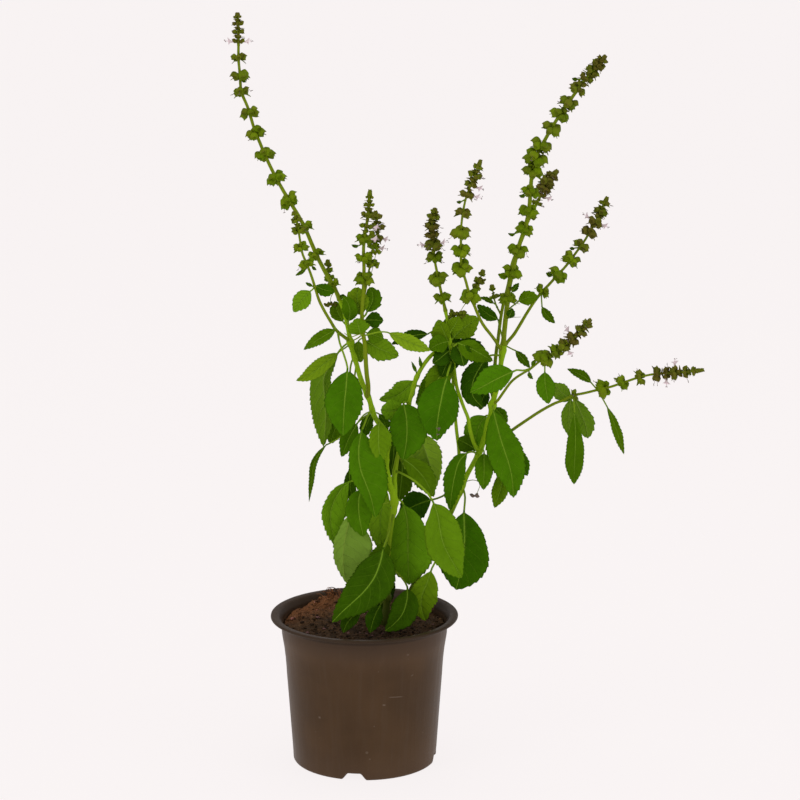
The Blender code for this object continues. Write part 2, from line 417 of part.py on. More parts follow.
# ---------------------------------------------------------------- soil
def soil_height(x, y):
    """Height of the soil's surface in metres at (x, y) in metres."""
    mound = SOIL_MOUND * math.exp(-((x + 0.020) ** 2 + (y - 0.046) ** 2) / (2 * 0.017 ** 2))
    bank = SOIL_BANK * math.exp(-((x + 0.050) ** 2 + (y - 0.014) ** 2) / (2 * 0.014 ** 2))
    roll = 0.7 * math.sin(x * 150 + 0.6) * math.cos(y * 130 - 0.4) + 0.4 * math.sin(x * 310 + y * 240)
    return (SOIL_LEVEL + mound + bank + roll) * MM


def pot_inner_radius(z):
    """Inside radius of the pot's wall in mm at height z in mm."""
    pts = [(5.4, POT_FOOT_R - 1.0), (13.0, POT_FOOT_R - 0.4), (72.0, 57.6), (88.0, 59.1),
           (98.0, 60.8), (POT_HEIGHT - 5.4, 61.0), (POT_HEIGHT - 1.5, 63.4)]
    for (z0, r0), (z1, r1) in zip(pts, pts[1:]):
        if z <= z1:
            return r0 + (r1 - r0) * max(z - z0, 0.0) / (z1 - z0)
    return pts[-1][1]


def soil_profile(theta):
    """(r, z) in mm of the soil's underside and side, just inside the pot.

    The outer ring of the underside keeps the height that clears the arches all
    the way round, so it never cuts into their sloping sides.
    """
    lift = 1.0
    up = ARCH_HEIGHT * lift
    foot, rise = POT_FOOT_R, POT_FLOOR_RISE
    side = 0.45
    return [(POT_PAD_R - 1.2, 1.65), (POT_PAD_R + 0.5, rise + 1.55), (foot - 7.75 - 1.85 * lift, rise + 1.55),
            (foot - 6.15 - 1.75 * lift, 1.65 + up), (foot - 2.6, 1.65 + up),
            (foot - POT_WALL - side, 5.6 + 0.75 * up), (pot_inner_radius(13.0) - side, 13.0),
            (pot_inner_radius(72.0) - side, 72.0), (pot_inner_radius(88.0) - side, 88.0),
            (pot_inner_radius(98.0) - side, 97.5)]


def build_soil():
    bm = bmesh.new()
    fractions = [1.0, 0.92, 0.8, 0.64, 0.46, 0.28, 0.12]
    columns = []
    for theta in pot_angles():
        c, s = math.cos(theta), math.sin(theta)
        col = [bm.verts.new((r * c * MM, r * s * MM, z * MM)) for r, z in soil_profile(theta)]
        for f in fractions:
            r = (pot_inner_radius(98.0) - 0.45) * f
            x, y = r * c * MM, r * s * MM
            col.append(bm.verts.new((x, y, soil_height(x, y))))
        columns.append(col)
    n = len(columns)
    for i in range(n):
        a, b = columns[i], columns[(i + 1) % n]
        for k in range(len(a) - 1):
            bm.faces.new((a[k], b[k], b[k + 1], a[k + 1]))
    under = bm.verts.new((0, 0, 1.65 * MM))
    top = bm.verts.new((0, 0, soil_height(0, 0)))
    for i in range(n):
        a, b = columns[i], columns[(i + 1) % n]
        bm.faces.new((b[0], a[0], under))
        bm.faces.new((a[-1], b[-1], top))
    return new_object("potting_soil", bm, SOIL_BROWN, 0.95, 80.0)


# ---------------------------------------------------------------- stems, spikes, leaves
EYE = Vector((EYE_X, EYE_Y, EYE_Z))


def world(points, n):
    return [Vector(at(*p)) for p in smooth(points, n)]


def tangent(line, i):
    a, b = line[max(i - 1, 0)], line[min(i + 1, len(line) - 1)]
    return (b - a).normalized()


def across(point, tan, face):
    """Sideways direction of a piece at a point: flat to the front, or flat to the sky
    for the leaves that reach back."""
    look = Vector((0, 0, -1)) if face == 2 else (point - EYE).normalized()
    return tan.cross(look).normalized()


def clearance(point, axis):
    """Distance from a point to a round piece with the axis [(centre, radius), ...]."""
    best = 1e9
    for (a, ra), (b, rb) in zip(axis, axis[1:]):
        ab = b - a
        t = min(max((point - a).dot(ab) / max(ab.length_squared, 1e-12), 0.0), 1.0)
        best = min(best, (point - a - ab * t).length - (ra + (rb - ra) * t))
    return best


def start_on(parent, line, radius):
    """First index of the line that is clear of its parent, and the ring maker that
    fits the first ring to the parent's surface."""
    for i, p in enumerate(line):
        if clearance(p, parent) > radius * 1.15 + GAP:
            return i
    raise ValueError("never leaves its parent")


def saddle(ring, tan, parent, middle, radius):
    """The ring and its middle pushed back along the piece until each point is just off
    the parent: at least GAP, and more for a thick branch on a thin parent."""
    reach = []
    off = GAP + 0.2 * radius
    for p in ring + [middle]:
        step = 0.0
        while step < 9 * MM and clearance(p - tan * step, parent) > off:
            step += 0.1 * MM
        reach.append(step)
    most = min(reach) + 3.0 * radius
    pushed = [p - tan * min(s, most) for p, s in zip(ring + [middle], reach)]
    return pushed[:-1], pushed[-1]


def hexagon(p, side, normal, r, sides=6):
    return [p + side * (r * math.cos(2 * math.pi * k / sides)) + normal * (r * math.sin(2 * math.pi * k / sides))
            for k in range(sides)]


AXES = {}


def build_stem(name, r0, r1, points, parent=None):
    line = world(points, 160)
    radii = [(r0 + (r1 - r0) * i / 160.0) * MM for i in range(161)]
    AXES[name] = list(zip(line, radii))[::2] + [(line[-1], radii[-1])]
    first = 0
    if parent:
        first = start_on(AXES[parent], line, radii[0])
    else:
        while line[first].z < soil_height(line[first].x, line[first].y) + 2.5 * MM:
            first += 1
    length = sum((b - a).length for a, b in zip(line, line[1:]))
    count = max(4, round(length / (11 * MM)))
    picks = [first + round((160 - first) * k / count) for k in range(count + 1)]
    rings, seat = [], None
    for i in picks:
        tan = tangent(line, i)
        side = across(line[i], tan, 1)
        ring = hexagon(line[i], side, tan.cross(side), radii[i])
        if not rings:
            if parent:
                first_ring, seat = saddle(ring, tan, AXES[parent], line[i], radii[i])
                rings.append(first_ring)
            else:
                rings.append([Vector((p.x, p.y, soil_height(p.x, p.y) + 0.8 * MM)) for p in ring])
        rings.append(ring)
    return new_object(name, skin(rings, seat), STEM_GREEN, 0.5)


def build_spike(name, parent, r, points, whorls):
    n = 300
    sheet = smooth(points, n)
    line = [Vector(at(*p)) for p in sheet]
    dist = [0.0]
    for a, b in zip(line, line[1:]):
        dist.append(dist[-1] + (b - a).length)

    marks = []
    for u, v, w in whorls:
        i = min(range(n + 1), key=lambda k: (sheet[k][0] - u) ** 2 + (sheet[k][1] - v) ** 2)
        scale = (line[i] - EYE).length / SHEET_SCALE
        marks.append((dist[i], w / 2 * scale))
    end = AXES[parent][-1][0]
    butt = (line[0] - end).length < 0.5 * MM
    first = 0 if butt else start_on(AXES[parent], line, r * MM)

    thin = r * MM
    stations = [(dist[first] + (GAP if butt else 0.0), thin)]
    low = marks[0][0] - 0.4 * marks[0][1]
    count = max(1, round((low - dist[first]) / (13 * MM)))
    stations += [(dist[first] + (low - dist[first]) * k / count, thin) for k in range(1, count + 1)]
    for k, (s, big) in enumerate(marks):
        taper = thin * (1.0 - 0.4 * s / dist[-1])
        stations += [(s - 0.38 * big, taper * 1.2), (s - 0.22 * big, big), (s + 0.45 * big, 0.5 * big)]
        if k + 1 < len(marks) and marks[k + 1][0] - 0.38 * marks[k + 1][1] > s + 0.9 * big:
            stations.append((s + 0.75 * big, taper * 1.1))
    stations.append((dist[-1] - 0.1 * MM, 0.45 * MM))
    kept = [stations[0]]
    for s, rad in stations[1:]:
        if s - kept[-1][0] > 0.45 * MM:
            kept.append((s, rad))
        elif rad > kept[-1][1] and len(kept) > 1:
            kept[-1] = (kept[-1][0], rad)

    # what grows from this spike keeps clear of its whorls too
    axis = []
    for i in range(0, n + 1, 2):
        s = dist[i]
        size = thin
        for (s0, r0), (s1, r1) in zip(kept, kept[1:]):
            if s0 <= s <= s1:
                size = r0 + (r1 - r0) * (s - s0) / (s1 - s0)
        axis.append((line[i], size))
    AXES[name] = axis

    rings, seat = [], None
    for s, rad in kept:
        i = min(range(n + 1), key=lambda k: abs(dist[k] - s))
        i = min(max(i, 1), n - 1)
        tan = tangent(line, i)
        p = line[i] + tan * (s - dist[i])
        side = across(p, tan, 1)
        ring = hexagon(p, side, tan.cross(side), rad)
        if not rings and not butt:
            first_ring, seat = saddle(ring, tan, AXES[parent], p, rad)
            rings.append(first_ring)
        rings.append(ring)
    return new_object(name, skin(rings, seat), SPIKE_GREEN, 0.6)


def blade_profile(t, widest):
    """Half-width of an ovate blade at t of its length, 1 at its widest."""
    if t < widest:
        return math.sin(math.pi / 2 * t / widest) ** 0.72
    return math.cos(math.pi / 2 * (t - widest) / (1 - widest)) ** 0.9


def leaf_ring(p, tan, face, turn, fold, left, right, edge, rib):
    side = across(p, tan, face)
    front = tan.cross(side)
    c, s = math.cos(math.radians(turn)), math.sin(math.radians(turn))
    side, front = side * c + front * s, front * c - side * s
    top = front if face > 0 else -front
    cf, sf = math.cos(math.radians(fold)), math.sin(math.radians(fold))
    to_left, to_right = -side * cf + top * sf, side * cf + top * sf
    return [p + to_left * left + top * edge, p + top * rib, p + to_right * right + top * edge,
            p + to_right * right - top * edge, p - top * rib, p + to_left * left - top * edge]


def build_leaf(name, parent, petiole, midrib, width, widest, lean, turn, fold, face):
    stalk = world(petiole + [midrib[0]], 60)
    blade = world(midrib, 40)
    first = start_on(AXES[parent], stalk, PETIOLE_R)
    first = min(first, 52)
    left = width / 2 * (1 - lean) * MM
    right = width / 2 * (1 + lean) * MM
    rings, seat = [], None
    for i in [first, round(first + (56 - first) * 0.5), 56]:
        tan = tangent(stalk, i)
        share = (i - first) / (56.0 - first + 1e-9)
        ring = leaf_ring(stalk[i], tan, face, turn * share, 0.0, PETIOLE_R, PETIOLE_R, 0.4 * MM, 0.7 * MM)
        if not rings:
            first_ring, seat = saddle(ring, tan, AXES[parent], stalk[i], PETIOLE_R)
            rings.append(first_ring)
        rings.append(ring)
    for t in (0.05, 0.16, 0.3, 0.45, 0.6, 0.75, 0.88, 1.0):
        i = round(40 * t)
        tan = tangent(blade, i)
        f = blade_profile(t, widest)
        wide = max(f, 0.012)
        p = blade[i] if t < 1.0 else blade[i] - tan * 0.2 * MM
        rings.append(leaf_ring(p, tan, face, turn, fold, max(left * wide, 0.35 * MM), max(right * wide, 0.35 * MM),
                               BLADE_HALF_THICK * (0.8 if t == 1.0 else 1.0),
                               RIB_HALF_THICK * (0.7 if t == 1.0 else 1.0)))
    pale = face == -1
    return new_object(name, skin(rings, seat), LEAF_PALE if pale else LEAF_GREEN, 0.45, 60.0)


# ---------------------------------------------------------------- the whole plant
def build():
    for ob in list(bpy.data.objects):
        bpy.data.objects.remove(ob, do_unlink=True)
    build_pot()
    build_soil()
    build_stem("stem_left", *STEMS["stem_left"])
    build_stem("stem_middle", *STEMS["stem_middle"], parent="stem_left")
    build_stem("stem_right", *STEMS["stem_right"])
    build_stem("stem_thin", *STEMS["stem_thin"], parent="stem_right")
    for name, (parent, r, points, whorls) in SPIKES.items():
        build_spike(name, parent, r, points, whorls)
    for name, leaf in LEAVES.items():
        build_leaf(name, *leaf)


build()
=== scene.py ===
"""Looks of the potted holy basil: camera, light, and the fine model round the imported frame."""
import bpy
import bmesh
import math
import random
import numpy as np
from mathutils import Vector, Matrix

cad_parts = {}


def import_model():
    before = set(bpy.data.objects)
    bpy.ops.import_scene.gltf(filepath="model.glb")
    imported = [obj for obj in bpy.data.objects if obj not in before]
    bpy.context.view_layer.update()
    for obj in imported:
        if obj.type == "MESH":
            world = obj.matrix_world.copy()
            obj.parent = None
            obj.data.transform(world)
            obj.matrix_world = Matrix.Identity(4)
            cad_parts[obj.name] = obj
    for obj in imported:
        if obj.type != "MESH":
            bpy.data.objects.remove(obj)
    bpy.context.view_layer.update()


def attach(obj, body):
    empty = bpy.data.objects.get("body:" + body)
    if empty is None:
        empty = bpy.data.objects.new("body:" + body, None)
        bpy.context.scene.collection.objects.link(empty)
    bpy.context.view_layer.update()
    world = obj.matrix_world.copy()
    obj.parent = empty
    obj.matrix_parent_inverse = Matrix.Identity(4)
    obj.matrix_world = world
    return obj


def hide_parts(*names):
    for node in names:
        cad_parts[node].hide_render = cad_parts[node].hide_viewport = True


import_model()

MM = 0.001

# ---------------------------------------------------------------- front drawing
# The plant is laid out on a front elevation drawn in perspective from 2 m away,
# 0.724 m up, looking 12.63 degrees down. A point is (u, v, y): u to the right and
# v down on the drawing sheet, and y the depth behind the pot's centre, in mm.
SHEET_SCALE = 2791.0
EYE_X, EYE_Y, EYE_Z = 0.0266, -2.0, 0.724
EYE_PITCH = math.radians(12.63)


def at(u, v, y):
    """World point in metres of a drawing point at depth y (mm)."""
    a = (400.0 - v) / SHEET_SCALE
    cp, sp = math.cos(EYE_PITCH), math.sin(EYE_PITCH)
    d = y / 1000.0 - EYE_Y
    zz = d * (a * cp - sp) / (cp + a * sp)
    depth = d * cp - zz * sp
    return (EYE_X + (u - 400.0) / SHEET_SCALE * depth, y / 1000.0, EYE_Z + zz)


def smooth(points, n):
    """n + 1 points evenly spaced along a smooth curve through the given points."""
    p = [points[0]] + list(points) + [points[-1]]
    p[0] = tuple(2 * a - b for a, b in zip(points[0], points[1]))
    p[-1] = tuple(2 * a - b for a, b in zip(points[-1], points[-2]))
    fine = []
    for i in range(1, len(p) - 2):
        for k in range(16):
            t = k / 16.0
            fine.append(tuple(
                0.5 * (2 * b + (c - a) * t + (2 * a - 5 * b + 4 * c - d) * t * t
                       + (3 * b - a - 3 * c + d) * t ** 3)
                for a, b, c, d in zip(p[i - 1], p[i], p[i + 1], p[i + 2])))
    fine.append(tuple(float(c) for c in points[-1]))
    length = [0.0]
    for a, b in zip(fine, fine[1:]):
        length.append(length[-1] + math.dist(a, b))
    out, j = [], 0
    for k in range(n + 1):
        s = length[-1] * k / n
        while j < len(fine) - 2 and length[j + 1] < s:
            j += 1
        span = length[j + 1] - length[j]
        f = 0.0 if span == 0 else (s - length[j]) / span
        out.append(tuple(a + (b - a) * min(max(f, 0.0), 1.0) for a, b in zip(fine[j], fine[j + 1])))
    return out


# Stems: name, radius at the foot and at the top (mm), points from foot to top.
STEMS = {
    "stem_left": (2.6, 1.45, [
        (385, 618, 2), (387, 600, 1), (386.5, 575, 0), (388, 548, -1), (391.5, 522, -2), (394.5, 506, -3),
        (393, 494, -4), (389, 481, -5), (386.5, 468, -6), (386.5, 456, -6), (388, 445, -6), (387.5, 436, -6),
        (383, 428, -6), (376.5, 420, -6), (372.5, 411, -6), (369.5, 400, -6), (365, 390, -5), (360.5, 378, -4),
        (356.5, 364, -2), (352, 350, 1), (350, 340, 3), (348, 328, 5), (344.5, 313, 8), (340, 300, 10)]),
    "stem_middle": (1.8, 1.5, [
        (395, 504, -3), (394.8, 490, -2), (394.5, 477, -1), (396, 465, 1), (398, 455, 2), (400.5, 445, 3),
        (404, 427, 2), (408, 408, 0), (412, 393, -3), (416, 379, -6), (421, 369, -9), (428, 359, -10),
        (436, 351, -9), (442, 346, -7)]),
    "stem_right": (2.1, 1.75, [
        (403, 613, 9), (407, 600, 9.5), (415, 582, 10), (425, 562, 11), (436, 541, 11), (447, 521, 10),
        (453, 508, 9), (458, 497, 8), (463, 485, 7), (467, 475, 6), (473, 464, 5), (478, 455, 5),
        (484, 440, 5), (488, 425, 5), (491, 412, 5), (493, 402, 5), (496, 391, 5), (498.5, 380, 6),
        (500.5, 367, 7), (502, 355, 8), (503.5, 345, 8)]),
    "stem_thin": (1.4, 1.2, [
        (479, 452, 5), (474, 443, 2), (470, 430, -1), (468, 418, -2), (464, 408, -3), (460, 397, -4),
        (457, 388, -4.5), (455.3, 378, -5), (454, 366, -5), (450.5, 346, -5), (447.5, 322, -5), (445.5, 311, -5)]),
}

# Flower spikes: parent stem, stalk radius (mm), points from the branching point to the
# tip, and for each whorl its place on the drawing and its width there.
SPIKES = {
    "flower_spike_left_tall": ("stem_left", 1.5, [
        (340, 300, 10), (333, 285, 12), (328, 277, 13), (318, 258, 15), (311, 242, 17), (305, 228, 18),
        (298, 215, 19), (290, 202, 20), (280, 185, 22), (272, 170, 24), (266, 157, 25), (260, 143, 26),
        (254, 128, 27), (248, 108, 28), (241.5, 92, 29), (240, 76, 30), (238.5, 58, 31), (238.5, 40, 32),
        (237.5, 14, 34)],
        [(333, 285, 16), (317, 254, 18), (305, 227, 18), (289, 200, 20), (276, 178, 20), (264, 154, 20), (255, 133, 20),
         (250, 113, 19), (241, 92.5, 18), (239.5, 76, 19), (238.5, 58, 17), (238.6, 42.5, 13),
         (238.5, 33, 13), (238, 24.5, 12), (237.7, 18, 9)]),
    "flower_spike_left_bud": ("flower_spike_left_tall", 0.7, [
        (335, 290, 11.4), (331, 282, 18), (328.2, 272, 23), (327.8, 261, 26)],
        [(330, 279.5, 11), (328.3, 272.5, 10), (327.9, 266, 8)]),
    "flower_spike_left_side": ("stem_left", 1.2, [
        (350, 341, 2.8), (345, 337.5, -1), (336, 330, -7), (331, 322, -11), (325, 312, -14), (319, 300, -17),
        (314, 284, -20), (310, 272, -22), (305, 260, -24), (302, 252, -26), (300, 240, -28), (297, 222, -30),
        (294, 213, -31)],
        [(306.5, 264, 17), (300.5, 247.5, 16), (297.5, 231.5, 15), (296.3, 221.5, 12), (295, 214.5, 7)]),
    "flower_spike_centre": ("stem_left", 1.65, [
        (367.5, 396, -5.8), (368.2, 390.5, -10.5), (368, 384, -13.5), (366.8, 375, -14.2), (365.8, 361, -14), (365, 345, -13.2), (362.5, 330, -12.5),
        (362, 310, -13), (363.5, 290, -13), (364, 265, -12), (363.5, 250, -11), (364.5, 238, -10),
        (368, 215, -8), (370, 191, -6)],
        [(363.5, 278, 20), (364, 258, 18), (364.5, 239, 18), (366, 227, 15), (367.8, 215.5, 16),
         (369, 206, 12), (369.8, 198.5, 9)]),
    "flower_spike_centre_small": ("flower_spike_centre", 0.8, [
        (364, 297, -13), (366, 287, -6), (367.5, 278, -2.5), (370.5, 263, 3), (373, 247, 7), (376.5, 234, 10), (378, 225, 12),
        (375.5, 212, 13)],
        [(370.7, 263, 14), (373.3, 248, 14), (376, 238, 16), (377.7, 228, 15), (377, 219, 12)]),
    "flower_spike_middle": ("stem_thin", 1.1, [
        (445.5, 311, -5), (443, 300, -5.5), (441, 292, -6), (439, 282, -7), (437, 272, -8), (435, 262, -9),
        (433.5, 250, -10), (431.7, 232, -12), (432.8, 220, -13), (435, 209.5, -14)],
        [(441.5, 298, 18), (438, 278, 20), (434.5, 257.5, 18), (433, 245, 18), (432, 236, 15),
         (431.7, 227, 16), (433, 218, 14), (434.3, 212.5, 9)]),
    "flower_spike_right_inner": ("stem_right", 1.15, [
        (502.3, 351, 8), (498, 345, 2.5), (494.5, 339.5, -0.5), (489.5, 333, -3), (484, 326, -6.5), (479, 317, -10),
        (474.5, 306, -13), (470, 296, -16), (466, 282, -19), (463, 272, -21), (461, 262, -23), (461, 250, -24),
        (461, 230, -26), (463, 212, -27), (466, 198, -28), (470, 187, -28), (475, 175, -29), (480.5, 161, -30)],
        [(469.5, 296, 20), (462, 267.5, 21), (460.8, 249.5, 19), (461, 231.5, 20), (463.2, 213, 17),
         (466, 194.5, 17), (469.5, 185, 14), (473.5, 175.5, 15), (477, 168.5, 11)]),
    "flower_spike_right_inner_bud": ("flower_spike_right_inner", 0.7, [
        (470, 297, -15.7), (474, 291, -10), (478, 284, -6), (483, 271, -3)],
        [(475.6, 288.5, 10), (478.7, 282.5, 12), (481.5, 275.5, 8)]),
    "flower_spike_right_tall": ("stem_right", 1.75, [
        (503.5, 345, 8), (504, 335, 8), (505.5, 320, 7), (507.5, 302, 5), (509, 288, 4), (513, 270, 2),
        (518, 249, 0), (525, 228, -3), (529, 210, -5), (530.5, 190, -8), (532, 175, -10), (535, 160, -12),
        (540, 149, -13), (546, 138, -14), (551, 129, -15), (558.5, 117, -17), (567, 105, -18), (574.5, 94, -19),
        (582.5, 83, -20), (590.5, 73.5, -20), (598, 65, -21), (605, 56.5, -22)],
        [(508.5, 299, 19), (512.5, 272, 20), (518, 250, 20), (524.5, 229, 19), (529, 211, 20),
         (531, 191, 19), (531, 171, 22), (536, 157, 24), (542, 145, 21), (551, 128, 21), (560, 114, 20),
         (567.5, 102, 20), (576, 89, 18), (584.5, 78.5, 16), (591, 71, 17), (597, 65, 16),
         (601.5, 60.5, 12)]),
    "flower_spike_right_back": ("stem_right", 1.35, [
        (492.8, 403, 5), (494, 390, 10), (495, 365, 13), (496.5, 350, 14), (498, 340, 15),
        (500.5, 320, 17), (503.5, 303, 21), (508, 285, 26), (512.5, 262, 32), (522, 240, 38), (528, 222, 42),
        (535, 207, 45), (541, 195, 47), (546, 184, 49), (557, 171, 51)],
        [(524, 234, 12), (530, 218, 12), (536, 204.5, 12), (540, 196, 12), (543, 189, 17), (547, 182.5, 17),
         (551.5, 176.5, 14)]),
    "flower_shoot_right": ("flower_spike_right_back", 0.7, [
        (501.3, 315, 18.2), (497.5, 308, 22), (494.5, 300, 26), (492, 286, 30)],
        [(494, 298, 9), (492.5, 290, 7)]),
    "flower_spike_right_outer": ("stem_right", 1.2, [
        (503.2, 350, 8), (507.5, 342, 13), (513.5, 335, 15), (519.5, 325.5, 16), (526, 314.5, 17.5), (533, 303.5, 19),
        (541, 293, 20.5), (550, 283.5, 21.5), (557.5, 275, 22.5), (566, 266, 24), (575, 254, 26), (585, 240, 28),
        (592, 228, 30), (600, 213, 32), (607, 198, 34)],
        [(541, 290, 17), (558, 273.5, 20), (571, 259, 19), (581, 245, 18), (588.5, 232, 18),
         (594.5, 222, 17), (600, 212.5, 16), (604, 205, 12)]),
    "flower_spike_right_low": ("stem_right", 1.0, [
        (492.5, 405, 5), (498, 400, 0), (505, 390, -6), (512, 381, -11), (520, 375, -15), (530, 369, -19),
        (540, 361, -23), (549, 355, -26), (558, 349.5, -29), (567, 343, -32), (577, 335, -35), (585, 327, -37),
        (590, 320, -39)],
        [(545, 358, 20), (555.5, 351.3, 16), (564, 345.3, 16), (572.5, 338.8, 17), (580.5, 331.3, 15),
         (586, 325, 12)]),
    "flower_spike_far_right": ("stem_right", 1.15, [
        (484, 440, 5), (493, 440.5, 9), (500, 437.2, 10.5), (507, 433.7, 11), (520, 424.6, 10), (540, 411.4, 8),
        (555, 403.2, 6), (563, 400.5, 5), (573, 395.5, 3), (585, 393, 0), (597, 390, -3), (610, 387, -7),
        (625, 382, -11), (640, 377, -15), (655, 374, -19), (670, 373, -23), (685, 372, -27), (703, 370, -31)],
        [(573.5, 394.5, 12), (603, 388.8, 19), (622.5, 383, 17), (639.5, 377.2, 17), (656, 374, 16),
         (665, 373.3, 14), (674, 373, 16), (684, 372.2, 13), (692.5, 371.3, 10)]),
}

